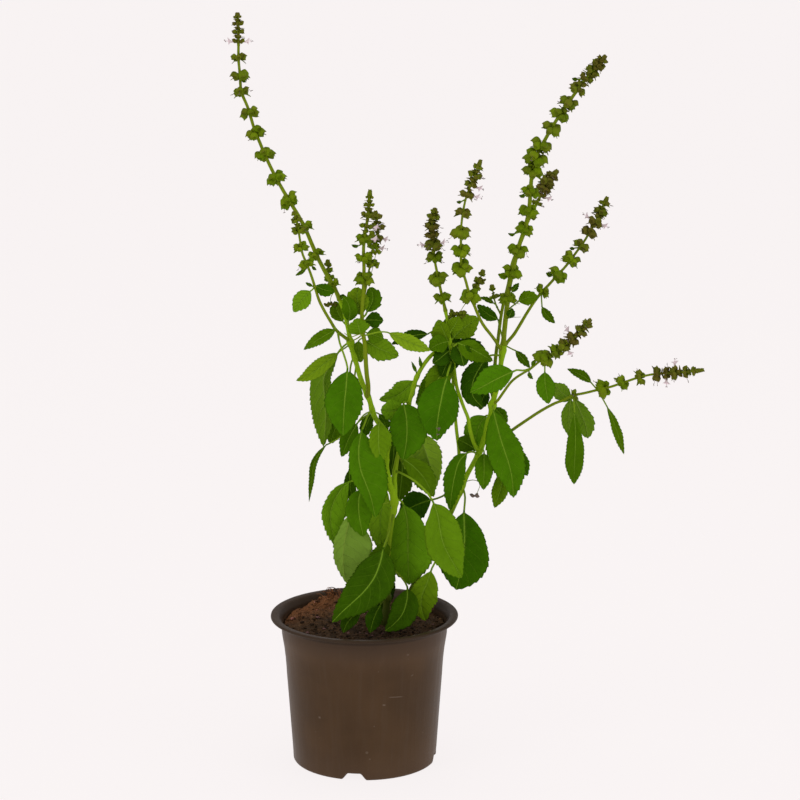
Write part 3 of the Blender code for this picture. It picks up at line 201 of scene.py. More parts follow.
# Leaves: parent stem, petiole points, midrib points from the blade's base to its tip,
# blade width (mm), where the blade is widest (share of its length), how much wider its
# right half is than its left, turn about the midrib (degrees, 0 = flat to the front),
# fold of each half (degrees), and the side in front: 1 the upper side, -1 the pale underside.
LEAVES = {
    "leaf_left_front": ("flower_spike_left_side", [(338, 332, -6), (339.5, 342, -13), (344, 355, -18), (347.3, 366, -22)],
        [(347.3, 371, -23), (346, 388, -27), (344.5, 403, -29), (343.5, 420, -29), (343, 436, -27)], 28.5, 0.44, 0.0, 6, 12, 1),
    "leaf_left_pale": ("stem_left", [(350, 342, 2.6), (345, 345, 5), (340, 350, 7)],
        [(338, 353, 8), (329, 367, 12), (323.5, 380, 14), (325, 402, 14), (325.5, 422, 14), (323.5, 447, 12)], 18.5, 0.55, -0.2, -14, 16, -1),
    "leaf_left_outer": ("stem_left", [(350.5, 344, 2.4), (345, 348, -1), (341, 350.5, -3)],
        [(338, 353, -4), (323, 364.8, -7), (309.5, 375, -10), (296, 380.8, -11)], 12.5, 0.45, 0.0, 15, 12, 1),
    "leaf_left_upper": ("flower_spike_left_side", [(334, 327, -9.3), (335.5, 328.5, -13)],
        [(335.5, 330, -14.5), (326, 335, -16), (314.5, 342, -17), (303.5, 349.8, -17)], 10, 0.4, 0.0, 20, 14, 1),
    "leaf_left_low_front": ("stem_left", [(371.7, 409, -6), (367.5, 416, -12), (364.5, 424, -17)],
        [(361.5, 431, -20), (359, 445, -23), (358.8, 458, -25), (361, 471, -26), (366, 484, -26), (371, 498, -25), (375.5, 518, -23)],
        27.5, 0.42, 0.36, -8, 14, 1),
    "leaf_left_low_outer": ("stem_left", [(388, 478, -5), (370, 478, -3), (356, 480, -1)],
        [(349, 482, 0), (340.5, 490, 1), (334, 501, 2), (330.5, 513, 2), (331, 526, 2.5), (334, 538, 3), (339, 549, 4)], 19, 0.42, 0.2, -20, 14, 1),
    "leaf_left_low_pale": ("stem_left", [(394.4, 502, -3.2), (380, 504, -6), (363, 509, -8)],
        [(353.5, 513, -9), (348.5, 525, -10), (345, 540, -12), (343.5, 556, -12), (344, 570, -11), (347, 584, -10)], 31, 0.48, 0.38, 24, 16, -1),
    "leaf_left_low_inner": ("stem_left", [(392.5, 492, -4.2), (379, 488, -11), (368, 488, -15)],
        [(361, 489, -16), (358.5, 502, -17.5), (359.5, 518, -19), (363.5, 537, -19)], 20, 0.45, 0.0, 0, 8, 1),
    "leaf_left_low_small": ("stem_left", [(393.2, 497, -4), (390, 492, 4), (388, 490, 8)],
        [(386.5, 490, 10), (382.5, 503, 11), (380.5, 518, 11), (380.5, 534, 10.5), (382.5, 551, 10)], 19, 0.5, -0.1, -10, 16, 1),
    "leaf_base_left_front": ("stem_left", [(393.5, 512, -2.6), (391, 526, -12), (387, 539, -20), (384, 546, -24)],
        [(383, 550, -26), (380, 563, -31), (374, 578, -36), (364, 591.5, -41), (353, 602, -46), (342, 612, -50), (332, 622.5, -53)],
        31, 0.34, 0.0, 4, 10, 1),
    "leaf_base_left_shade": ("stem_left", [(386.8, 597, 0.8), (383, 601, -7), (381, 604, -10)],
        [(380, 606, -12), (376, 613, -18), (372.5, 623, -26), (370, 633, -33)], 13, 0.5, 0.0, 0, 12, 1),
    "leaf_base_centre": ("stem_left", [(386.5, 566, -0.3), (395, 571, -8), (403, 579, -13), (407, 586, -16)],
        [(407.5, 589, -17), (407, 600, -22), (403, 613, -27), (395, 623, -31), (385, 631, -34)], 21, 0.42, 0.0, 0, 12, 1),
    "leaf_base_right": ("stem_right", [(442, 530, 10.5), (440, 545, 3), (436.5, 559, -5), (432.5, 567, -9)],
        [(431, 571, -9), (427, 583, -10), (422, 596, -11), (421.5, 608, -12), (425.5, 621, -12)], 21, 0.5, 0.12, 0, 10, 1),
    "leaf_centre_low": ("stem_left", [(395, 503, -3.2), (399, 500, 1), (402, 502, 2)],
        [(403.5, 505, 2.2), (406.5, 516, 3), (408, 531, 3), (408, 550, 2), (408.3, 567, 0.5), (409, 585, -0.5)], 39, 0.6, 0.1, 24, 6, 1),
    "leaf_centre_low_pale": ("stem_middle", [(395, 471, 0.2), (400, 472.5, -5), (406, 475.5, -9), (415, 481, -14), (425, 490, -19), (431, 498, -22)],
        [(433.5, 503, -23), (437.5, 515, -25), (440, 530, -27), (443, 543, -28), (448, 554, -28), (455, 566, -27), (462, 578, -25)],
        34, 0.46, -0.06, -27, 22, 1),
    "leaf_centre_shade": ("stem_right", [(460, 492.5, 7.6), (450, 492, 13), (441, 497, 16), (435, 499, 17.5)],
        [(431, 500, 18), (421, 503, 20), (410, 508, 21), (399, 515, 21)], 21, 0.42, 0.0, 0, 10, 1),
    "leaf_centre_pale": ("stem_middle", [(404, 427, 2), (410, 429, 6), (415.5, 431.5, 8)],
        [(418.5, 434, 8.5), (424, 447, 9.5), (428.5, 461, 10), (432.5, 475, 9.5), (436, 488, 8.5)], 31, 0.35, -0.28, 0, 12, -1),
    "leaf_centre_front": ("stem_middle", [(409, 405, -0.6), (406.5, 402, -4), (404, 402.5, -6)],
        [(403.5, 404, -7), (406, 416, -11), (407, 430, -14), (406, 445, -15), (403, 460, -14)], 29.5, 0.45, 0.05, -5, 12, 1),
    "leaf_centre_small": ("stem_middle", [(417, 377.5, -6.6), (416, 378.5, -3), (414.5, 380, 1)],
        [(413.5, 381, 2.5), (406, 389, 6), (396, 396, 7.5), (379, 399.8, 8)], 16.5, 0.3, 0.0, 0, 12, 1),
    "leaf_middle_front": ("stem_thin", [(452.5, 358, -5), (450, 366, -14), (447.5, 374, -20)],
        [(446.7, 378, -22), (443.8, 388, -25), (441.2, 400, -27), (438.7, 413, -28), (437, 427, -27), (437, 441, -25)], 30.5, 0.45, -0.06, -6, 10, 1),
    "leaf_right_of_middle": ("stem_right", [(478, 454.5, 5), (473.5, 452, -1), (470, 452, -5.5)],
        [(467, 453, -8), (459, 462, -11), (455, 475, -13), (452, 491, -13), (450, 511, -11)], 15.5, 0.42, 0.0, 10, 16, 1),
    "leaf_right_small": ("stem_right", [(480, 450, 5), (482.5, 449.5, 0), (484, 451, -3)],
        [(484, 453, -4), (484, 463, -7), (484, 476, -9), (483.5, 490, -8)], 14, 0.42, 0.0, 0, 12, 1),
    "leaf_right_front": ("stem_right", [(492, 406.5, 5), (493, 406.5, 0), (493.5, 409, -2)],
        [(493.5, 411, -3), (497, 425, -6), (501, 440, -9), (506, 455, -11), (510, 468, -12), (512.5, 482, -12), (513.5, 498, -11)],
        26, 0.5, 0.0, 5, 12, 1),
    "leaf_right_outer": ("stem_right", [(487, 430, 5), (493, 432.5, 2), (500, 438.5, 1)],
        [(504, 443, 1), (512.5, 450.5, 0.5), (520.5, 461.5, -0.5), (527.5, 476, -1.5)], 13, 0.6, 0.0, 10, 14, 1),
    "leaf_right_shade": ("stem_right", [(501.9, 357, 7.7), (497, 355, 4.5), (490, 355.5, 3.5)],
        [(487, 357, 3.5), (479, 369, 2.5), (473, 382, 1.5), (473, 396, 1), (483, 408, 1)], 19, 0.45, 0.0, 0, 12, 1),
    "leaf_right_behind": ("stem_right", [(489.5, 419, 5), (488, 416, 9), (486.5, 415.5, 11)],
        [(486, 416, 12), (480, 424, 14), (476, 436, 15), (474, 452, 15)], 20, 0.36, 0.0, 0, 12, 1),
    "leaf_right_low_large": ("stem_right", [(462.5, 486, 7), (465, 496, 4), (464.5, 506, 1)],
        [(464, 512, 0), (464.5, 528, -3), (464.5, 544, -5), (463, 560, -6), (460, 575, -6), (456, 590, -4)], 39, 0.6, 0.0, 4, 8, 1),
    "leaf_right_upper": ("flower_spike_right_low", [(530, 369, -19), (523, 370.5, -22), (517, 370, -24)],
        [(513.3, 371.5, -24.5), (503, 376, -26), (492, 381.5, -27.5), (481, 387.5, -28), (470, 392.5, -27)], 19, 0.42, -0.15, 0, 12, 1),
    "leaf_far_right_upper": ("flower_spike_right_low", [(545, 358, -24.6), (544.8, 365, -27), (544.8, 370, -28)],
        [(544.8, 372, -28), (545, 382, -30), (546.5, 392, -30), (548.5, 404, -29)], 14, 0.48, 0.0, 0, 12, 1),
    "leaf_far_right_front": ("flower_spike_far_right", [(573, 395, 3), (574, 404, -5), (574.5, 411, -8)],
        [(574.5, 414, -9), (575.5, 432, -12), (575.3, 450, -13), (574.3, 468, -12), (574, 484.5, -10)], 14, 0.66, 0.0, 8, 16, 1),
    "leaf_middle_top": ("stem_thin", [(450, 343, -5), (451.5, 340, -3), (452.7, 338.5, -2.3)],
        [(453.3, 338, -2), (460, 331, -1.5), (468, 325, -1), (479, 318, 0)], 19, 0.45, 0.10, 10, 10, 1),
    "leaf_middle_right": ("stem_thin", [(451.3, 351, -5), (453.5, 347, -9), (456, 344.5, -11)],
        [(458, 343, -12), (470, 348, -13), (482, 354.5, -13), (493, 361, -12)], 15, 0.36, -0.2, -8, 12, 1),
    "leaf_inner_pale": ("flower_spike_centre", [(363.6, 336, -12.8), (370, 334, -15.5), (379, 332, -17), (386, 332, -18)],
        [(389, 333, -18.5), (402, 339, -20), (416, 345, -21), (431, 350.5, -21)], 11.5, 0.5, 0.0, 14, 12, 1),
    "leaf_inner_right": ("flower_spike_centre", [(364.2, 339, -12.9), (365, 340, -9.5), (365.6, 340.6, -8.2)],
        [(366, 341, -7.5), (378, 348, -6), (389, 352.5, -4.5), (399, 356, -3)], 17.5, 0.4, 0.0, 0, 12, 1),
    "leaf_inner_dark": ("stem_thin", [(448.4, 330, -5), (439, 329, -1), (431, 332, 1)],
        [(428, 334, 1.5), (416, 335, 3), (403, 339, 4), (391, 344.5, 4)], 9, 0.42, 0.0, 0, 12, 1),
    "leaf_back_left_low": ("stem_left", [(386.6, 461, -6), (383, 457, 3), (380, 456, 9)],
        [(378.5, 457, 13), (373, 462, 22), (368, 471, 31), (365, 484, 38)], 22, 0.42, 0.0, 0, 12, 1),
    "leaf_back_right": ("stem_right", [(488, 425, 5), (492, 428, 12), (495, 431, 17)],
        [(495.5, 433, 20), (498, 442, 29), (499.5, 455, 36), (499.5, 470, 42)], 18, 0.42, 0.0, 0, 12, 1),
    "leaf_back_right_low": ("stem_right", [(441, 532, 10.6), (442, 534, 16), (443.5, 536, 19)],
        [(445, 538, 22), (449, 545, 31), (453, 556, 39), (455, 569, 45)], 24, 0.42, 0.0, 0, 10, 1),
    "leaf_back_middle": ("stem_middle", [(414, 386, -4.3), (419, 386, 3), (423, 388, 8)],
        [(425, 389, 11), (430, 394, 19), (434, 403, 27), (437, 415, 33)], 19, 0.42, 0.0, 0, 12, 1),
    "leaf_back_left": ("stem_left", [(354.3, 357, -0.6), (352, 361, 9), (350.5, 367, 15)],
        [(350, 372, 18), (350, 382, 26), (349, 394, 33), (348, 408, 38)], 17, 0.42, 0.0, 0, 12, 1),
}


# ---------------------------------------------------------------- camera, light, floor
def make_camera():
    data = bpy.data.cameras.new("camera")
    data.lens = 125.6
    data.sensor_width = 36.0
    data.sensor_fit = "HORIZONTAL"
    data.clip_start = 0.05
    data.clip_end = 60.0
    cam = bpy.data.objects.new("camera", data)
    bpy.context.scene.collection.objects.link(cam)
    cam.location = (EYE_X, EYE_Y, EYE_Z)
    cam.rotation_euler = (math.radians(90.0) - EYE_PITCH, 0.0, 0.0)
    bpy.context.scene.camera = cam
    return cam


def area_light(name, place, aim, size, power, colour=(1.0, 1.0, 1.0), tall=None):
    data = bpy.data.lights.new(name, "AREA")
    data.energy = power
    data.color = colour
    data.size = size
    if tall:
        data.shape = "RECTANGLE"
        data.size_y = tall
    ob = bpy.data.objects.new(name, data)
    bpy.context.scene.collection.objects.link(ob)
    ob.location = place
    way = Vector(aim) - Vector(place)
    ob.rotation_euler = way.to_track_quat("-Z", "Y").to_euler()
    return ob


def make_stage():
    world = bpy.data.worlds.new("studio")
    bpy.context.scene.world = world
    world.use_nodes = True
    back = world.node_tree.nodes["Background"]
    back.inputs["Color"].default_value = (0.955, 0.905, 0.905, 1.0)
    back.inputs["Strength"].default_value = 0.58
    bpy.context.scene.view_settings.view_transform = "Standard"

    area_light("key_left", (-1.5, -1.3, 1.7), (0.02, 0.0, 0.25), 1.1, 12.0, (1.0, 0.985, 0.96))
    area_light("fill_right", (1.7, -0.9, 1.1), (0.02, 0.0, 0.25), 1.0, 7.0, (0.98, 0.99, 1.0))
    area_light("top", (0.1, 0.3, 2.2), (0.02, 0.0, 0.2), 1.2, 8.0)

    bm = bmesh.new()
    bmesh.ops.create_circle(bm, cap_ends=True, segments=96, radius=60.0)
    mesh = bpy.data.meshes.new("floor")
    bm.to_mesh(mesh)
    bm.free()
    floor = bpy.data.objects.new("floor", mesh)
    bpy.context.scene.collection.objects.link(floor)
    mat = bpy.data.materials.new("floor")
    mat.use_nodes = True
    nt = mat.node_tree
    bsdf = nt.nodes["Principled BSDF"]
    bsdf.inputs["Base Color"].default_value = (0.07, 0.0665, 0.0665, 1.0)
    bsdf.inputs["Roughness"].default_value = 0.9
    bsdf.inputs["Specular IOR Level"].default_value = 0.1
    bsdf.inputs["Emission Color"].default_value = (0.955, 0.912, 0.912, 1.0)
    bsdf.inputs["Emission Strength"].default_value = 0.926
    mesh.materials.append(mat)
    return floor


# ---------------------------------------------------------------- materials
class Nodes:
    """Small helper for writing node trees."""

    def __init__(self, name):
        self.mat = bpy.data.materials.new(name)
        self.mat.use_nodes = True
        self.tree = self.mat.node_tree
        self.bsdf = self.tree.nodes["Principled BSDF"]

    def add(self, kind, **values):
        node = self.tree.nodes.new(kind)
        for key, value in values.items():
            setattr(node, key, value)
        return node

    def link(self, out, into):
        self.tree.links.new(out, into)

    def put(self, socket, value):
        if hasattr(value, "is_output"):
            self.link(value, socket)
        else:
            socket.default_value = value

    def math(self, op, a, b=0.0, c=None, clamp=False):
        node = self.add("ShaderNodeMath", operation=op, use_clamp=clamp)
        self.put(node.inputs[0], a)
        self.put(node.inputs[1], b)
        if c is not None:
            self.put(node.inputs[2], c)
        return node.outputs[0]

    def mix(self, fac, a, b, kind="MIX"):
        node = self.add("ShaderNodeMix", data_type="RGBA", blend_type=kind)
        self.put(node.inputs[0], fac)
        self.put(node.inputs[6], a if hasattr(a, "is_output") else (*a, 1.0))
        self.put(node.inputs[7], b if hasattr(b, "is_output") else (*b, 1.0))
        return node.outputs[2]

    def ramp(self, fac, stops):
        node = self.add("ShaderNodeValToRGB")
        self.link(fac, node.inputs[0])
        ramp = node.color_ramp
        while len(ramp.elements) < len(stops):
            ramp.elements.new(0.5)
        for el, (pos, col) in zip(ramp.elements, stops):
            el.position = pos
            el.color = (*col, 1.0) if len(col) == 3 else col
        return node.outputs[0]

    def span(self, value, lo, hi, to_lo=0.0, to_hi=1.0):
        node = self.add("ShaderNodeMapRange", clamp=True, interpolation_type="SMOOTHSTEP")
        self.put(node.inputs[0], value)
        for i, x in ((1, lo), (2, hi), (3, to_lo), (4, to_hi)):
            node.inputs[i].default_value = x
        return node.outputs[0]

    def coords(self):
        return self.add("ShaderNodeTexCoord").outputs["Object"]

    def noise(self, where, scale, detail=3.0, rough=0.5, distort=0.0):
        node = self.add("ShaderNodeTexNoise")
        self.link(where, node.inputs["Vector"])
        node.inputs["Scale"].default_value = scale
        node.inputs["Detail"].default_value = detail
        node.inputs["Roughness"].default_value = rough
        node.inputs["Distortion"].default_value = distort
        return node.outputs["Fac"]

    def attribute(self, name):
        node = self.add("ShaderNodeAttribute", attribute_type="GEOMETRY", attribute_name=name)
        return node

    def bump(self, height, strength, distance, normal=None):
        node = self.add("ShaderNodeBump")
        node.inputs["Strength"].default_value = strength
        node.inputs["Distance"].default_value = distance
        self.link(height, node.inputs["Height"])
        if normal is not None:
            self.link(normal, node.inputs["Normal"])
        return node.outputs[0]


def leaf_material(name, under):
    """Leaf blade. 'leaf' holds (side -1..1, along 0..1, tone 0..1) and 'leaf_more' holds
    (hue 0 green .. 1 yellow, distance from the midrib in its own half widths, 0). Tone is the
    leaf's own lightness together with painted light and shade."""
    n = Nodes(name)
    sep = n.add("ShaderNodeSeparateXYZ")
    n.link(n.attribute("leaf").outputs["Vector"], sep.inputs[0])
    side, along, tone = sep.outputs
    more = n.add("ShaderNodeSeparateXYZ")
    n.link(n.attribute("leaf_more").outputs["Vector"], more.inputs[0])
    hue, off = more.outputs[0], more.outputs[1]
    s = n.math("ABSOLUTE", side)
    where = n.coords()

    # lateral veins rise from the midrib and bend towards the tip
    w = n.math("SUBTRACT", along, n.math("MULTIPLY", s, 0.17))
    w = n.math("SUBTRACT", w, n.math("MULTIPLY", n.math("MULTIPLY", s, s), 0.07))
    wob = n.noise(where, 90.0, 2.0)
    w = n.math("ADD", w, n.math("MULTIPLY", n.math("SUBTRACT", wob, 0.5), 0.045))
    w = n.math("MULTIPLY", w, 7.0)
    fr = n.math("FRACT", n.math("ADD", w, 3.0))
    near = n.math("MINIMUM", fr, n.math("SUBTRACT", 1.0, fr))
    vein = n.span(near, 0.02, 0.085, 1.0, 0.0)
    vein = n.math("MULTIPLY", vein, n.span(s, 0.55, 0.98, 1.0, 0.15))
    rib = n.span(off, 0.45, 1.05, 1.0, 0.0)
    rib_wide = n.span(off, 0.8, 3.2, 1.0, 0.0)

    # net of the smallest veins
    net = n.add("ShaderNodeTexVoronoi", feature="DISTANCE_TO_EDGE")
    n.link(where, net.inputs["Vector"])
    net.inputs["Scale"].default_value = 620.0
    netline = n.span(net.outputs[0], 0.0, 0.12, 1.0, 0.0)
    mottle = n.noise(where, 190.0, 5.0, 0.65)
    patch = n.noise(where, 42.0, 3.0)

    # tone paints each leaf lighter or darker. Part of it is the leaf's own green. The rest is painted shade for leaves
    # in the plant's shadow and painted light, up to 1.5, for leaves inside the plant
    shade = n.math("ADD", tone, n.math("MULTIPLY", n.math("SUBTRACT", mottle, 0.5), 0.45))
    shade = n.math("ADD", shade, n.math("MULTIPLY", n.math("SUBTRACT", patch, 0.5), 0.42))
    shade = n.math("MULTIPLY", shade, 0.6667, clamp=True)
    if under:
        pale = n.ramp(shade, [(0.0, (0.070, 0.130, 0.008)), (0.333, (0.115, 0.215, 0.016)), (0.667, (0.185, 0.320, 0.040)),
                              (1.0, (0.260, 0.420, 0.060))])
        sunny = n.ramp(shade, [(0.0, (0.050, 0.115, 0.001)), (0.333, (0.100, 0.215, 0.002)), (0.667, (0.165, 0.310, 0.005)),
                               (1.0, (0.240, 0.410, 0.010))])
        base = n.mix(hue, pale, sunny)
        veins, ribs = (0.185, 0.310, 0.040), (0.250, 0.380, 0.050)
    else:
        green = n.ramp(shade, [(0.0, (0.019, 0.060, 0.001)), (0.333, (0.042, 0.135, 0.0008)), (0.667, (0.082, 0.240, 0.003)),
                               (1.0, (0.130, 0.350, 0.006))])
        yellow = n.ramp(shade, [(0.0, (0.046, 0.085, 0.001)), (0.333, (0.100, 0.170, 0.0015)), (0.667, (0.180, 0.300, 0.008)),
                                (1.0, (0.270, 0.430, 0.016))])
        base = n.mix(hue, green, yellow)
        veins, ribs = (0.150, 0.290, 0.016), (0.230, 0.400, 0.030)
    base = n.mix(n.math("MULTIPLY", netline, 0.06 if not under else 0.12), base, veins)
    base = n.mix(n.math("MULTIPLY", vein, 0.15 if not under else 0.34), base, veins)
    base = n.mix(n.math("MULTIPLY", rib_wide, 0.12), base, veins)
    base = n.mix(n.math("MULTIPLY", rib, 0.72), base, ribs)
    edge = n.span(s, 0.92, 1.0, 0.0, 1.0)
    base = n.mix(n.math("MULTIPLY", edge, 0.20), base, (0.115, 0.200, 0.012))
    n.link(base, n.bsdf.inputs["Base Color"])

    rough = n.math("ADD", 0.55 if not under else 0.70, n.math("MULTIPLY", n.math("SUBTRACT", mottle, 0.5), 0.20))
    n.link(rough, n.bsdf.inputs["Roughness"])
    n.bsdf.inputs["Specular IOR Level"].default_value = 0.012
    sign = -1.0 if not under else 1.0
    relief = n.math("MULTIPLY", n.math("ADD", n.math("MULTIPLY", vein, 0.9), n.math("MULTIPLY", rib, 1.0)), sign)
    relief = n.math("ADD", relief, n.math("MULTIPLY", netline, 0.30 * sign))
    relief = n.math("ADD", relief, n.math("MULTIPLY", mottle, 0.5))
    n.link(n.bump(relief, 0.9, 0.00030), n.bsdf.inputs["Normal"])
    return n.mat


def stem_material(name, young, old, rust):
    """Stem and petiole: attribute 'leaf' z holds how young the piece is."""
    n = Nodes(name)
    sep = n.add("ShaderNodeSeparateXYZ")
    n.link(n.attribute("leaf").outputs["Vector"], sep.inputs[0])
    where = n.coords()
    fine = n.noise(where, 420.0, 4.0, 0.6)
    streak_map = n.add("ShaderNodeMapping")
    n.link(where, streak_map.inputs["Vector"])
    streak_map.inputs["Scale"].default_value = (1.0, 1.0, 0.12)
    streak = n.noise(streak_map.outputs[0], 900.0, 2.0)
    patch = n.noise(where, 55.0, 3.0)
    base = n.mix(sep.outputs[2], old, young)
    base = n.mix(n.span(patch, 0.55, 0.78, 0.0, 0.35), base, rust)
    base = n.mix(n.math("MULTIPLY", n.math("SUBTRACT", streak, 0.35), 0.45, clamp=True), base, (0.06, 0.09, 0.006))
    base = n.mix(n.math("MULTIPLY", n.math("SUBTRACT", fine, 0.5), 0.5, clamp=True), base, (0.30, 0.38, 0.06))
    # darker just above the soil: painted shade cast by the low leaves
    high = n.add("ShaderNodeSeparateXYZ")
    n.link(where, high.inputs[0])
    base = n.mix(n.span(high.outputs[2], 0.112, 0.146, 0.80, 0.0), base, (0.036, 0.046, 0.009))
    n.link(base, n.bsdf.inputs["Base Color"])
    n.link(n.math("ADD", 0.45, n.math("MULTIPLY", fine, 0.25)), n.bsdf.inputs["Roughness"])
    n.bsdf.inputs["Specular IOR Level"].default_value = 0.04
    height = n.math("ADD", n.math("MULTIPLY", streak, 0.8), n.math("MULTIPLY", fine, 0.5))
    n.link(n.bump(height, 0.6, 0.00025), n.bsdf.inputs["Normal"])
    return n.mat


def calyx_material():
    """Calyces, buds and bracts: 'leaf' x is 0 at the base and 1 at the lip, y how light
    the green is and z how purple."""
    n = Nodes("calyx")
    sep = n.add("ShaderNodeSeparateXYZ")
    n.link(n.attribute("leaf").outputs["Vector"], sep.inputs[0])
    along, green, purple = sep.outputs
    where = n.coords()
    fine = n.noise(where, 700.0, 4.0, 0.6)
    patch = n.noise(where, 170.0, 3.0)
    fresh = n.ramp(green, [(0.0, (0.055, 0.108, 0.0015)), (0.5, (0.118, 0.200, 0.002)), (1.0, (0.215, 0.305, 0.006))])
    fresh = n.mix(n.math("MULTIPLY", n.math("SUBTRACT", fine, 0.45), 0.9, clamp=True), fresh, (0.26, 0.38, 0.012))
    base = n.mix(n.math("MULTIPLY", n.math("SUBTRACT", 0.50, fine), 1.0, clamp=True), fresh, (0.040, 0.060, 0.002))
    lip = n.span(along, 0.66, 0.98)
    amount = n.math("ADD", purple, n.math("MULTIPLY", n.math("SUBTRACT", patch, 0.5), 0.7))
    amount = n.math("ADD", amount, n.math("MULTIPLY", lip, 0.50), clamp=True)
    base = n.mix(n.math("MULTIPLY", amount, 0.82), base, (0.104, 0.068, 0.016))
    n.link(base, n.bsdf.inputs["Base Color"])
    n.bsdf.inputs["Roughness"].default_value = 0.65
    n.bsdf.inputs["Specular IOR Level"].default_value = 0.03
    ribs = n.math("ADD", n.math("MULTIPLY", fine, 0.8), n.math("MULTIPLY", patch, 0.6))
    n.link(n.bump(ribs, 0.6, 0.0003), n.bsdf.inputs["Normal"])
    return n.mat


def flower_material():
    n = Nodes("flower")
    where = n.coords()
    fine = n.noise(where, 800.0, 3.0)
    base = n.mix(n.span(fine, 0.35, 0.7), (0.80, 0.62, 0.67), (0.94, 0.86, 0.88))
    n.link(base, n.bsdf.inputs["Base Color"])
    n.bsdf.inputs["Roughness"].default_value = 0.7
    n.bsdf.inputs["Specular IOR Level"].default_value = 0.1
    n.link(n.bump(fine, 0.4, 0.0002), n.bsdf.inputs["Normal"])
    return n.mat


def dry_material():
    n = Nodes("dry_floret")
    where = n.coords()
    fine = n.noise(where, 600.0, 3.0)
    base = n.mix(fine, (0.055, 0.035, 0.028), (0.23, 0.17, 0.14))
    n.link(base, n.bsdf.inputs["Base Color"])
    n.bsdf.inputs["Roughness"].default_value = 0.85
    n.link(n.bump(fine, 0.5, 0.0002), n.bsdf.inputs["Normal"])
    return n.mat


def pot_material():
    n = Nodes("pot_plastic")
    where = n.coords()
    sep = n.add("ShaderNodeSeparateXYZ")
    n.link(where, sep.inputs[0])
    x, y, z = sep.outputs
    grain = n.noise(where, 1500.0, 3.0, 0.6)
    cloud = n.noise(where, 26.0, 3.0)
    # faint drawn streaks down the wall, from forming
    draw = n.add("ShaderNodeMapping")
    n.link(where, draw.inputs["Vector"])
    draw.inputs["Scale"].default_value = (1.0, 1.0, 0.05)
    streak = n.noise(draw.outputs[0], 240.0, 3.0)
    ring = n.add("ShaderNodeMapping")
    n.link(where, ring.inputs["Vector"])
    ring.inputs["Scale"].default_value = (0.06, 0.06, 1.0)
    bands = n.noise(ring.outputs[0], 330.0, 2.0)
    base = n.mix(n.span(cloud, 0.3, 0.7), (0.058, 0.0315, 0.0142), (0.075, 0.041, 0.0185))
    base = n.mix(n.span(streak, 0.45, 0.8, 0.0, 0.30), base, (0.082, 0.052, 0.032))
    dust = n.span(n.noise(where, 2600.0, 2.0), 0.70, 0.78)
    base = n.mix(n.math("MULTIPLY", dust, 0.20), base, (0.19, 0.150, 0.115))
    speck = n.span(n.noise(where, 210.0, 1.0), 0.775, 0.80)
    base = n.mix(n.math("MULTIPLY", speck, 0.28), base, (0.19, 0.150, 0.115))
    # handling marks: (x, z, half length, half height) in mm
    for mx, mz, wx, wz in ((23.5, 64.8, 5.5, 0.45), (-32.6, 46.8, 0.9, 0.9), (14.9, 59.5, 1.2, 0.8), (32.4, 97.0, 1.0, 0.8)):
        dx = n.math("DIVIDE", n.math("ABSOLUTE", n.math("SUBTRACT", x, mx * MM)), wx * MM)
        dz = n.math("DIVIDE", n.math("ABSOLUTE", n.math("SUBTRACT", n.math("ADD", z, n.math("MULTIPLY", x, 0.10)), (mz + 0.1 * mx) * MM)), wz * MM)
        spot = n.span(n.math("MAXIMUM", dx, dz), 0.5, 1.1, 1.0, 0.0)
        spot = n.math("MULTIPLY", spot, n.span(y, -0.035, -0.045, 0.0, 1.0))
        base = n.mix(n.math("MULTIPLY", spot, 0.40), base, (0.20, 0.150, 0.115))
    # painted shade darkens the inside of the wall, which the wall itself shades; the rim is darker too
    rad2 = n.math("ADD", n.math("MULTIPLY", x, x), n.math("MULTIPLY", y, y))
    inside_painted_shade = n.math("MULTIPLY", n.span(rad2, 0.0642 ** 2, 0.0632 ** 2, 0.0, 1.0), n.span(z, 0.090, 0.104))
    rim = n.span(z, 0.1076, 0.1092)
    base = n.mix(n.math("MULTIPLY", n.math("MAXIMUM", inside_painted_shade, rim), 0.55), base, (0.022, 0.016, 0.012))
    # a paler band under the rim's edge: painted light that lifts the shadow the rim casts on the wall
    under = n.math("MULTIPLY", n.span(z, 0.078, 0.106), n.span(z, 0.1056, 0.1076, 1.0, 0.0))
    under = n.math("MULTIPLY", under, n.span(rad2, 0.0585 ** 2, 0.0595 ** 2))
    base = n.mix(n.math("MULTIPLY", under, 0.28), base, (0.150, 0.088, 0.052))
    # paler towards the foot
    low = n.span(z, 0.030, 0.0, 0.0, 1.0)
    base = n.mix(n.math("MULTIPLY", low, 0.20), base, (0.125, 0.078, 0.052))
    n.link(base, n.bsdf.inputs["Base Color"])
    rough = n.math("ADD", 0.42, n.math("MULTIPLY", n.math("SUBTRACT", cloud, 0.5), 0.14))
    rough = n.math("ADD", rough, n.math("MULTIPLY", n.math("SUBTRACT", streak, 0.5), 0.16))
    n.link(rough, n.bsdf.inputs["Roughness"])
    n.bsdf.inputs["Specular IOR Level"].default_value = 0.10
    height = n.math("ADD", n.math("MULTIPLY", grain, 0.35), n.math("MULTIPLY", streak, 1.1))
    height = n.math("ADD", height, n.math("MULTIPLY", bands, 0.45))
    n.link(n.bump(height, 0.35, 0.00025), n.bsdf.inputs["Normal"])
    return n.mat


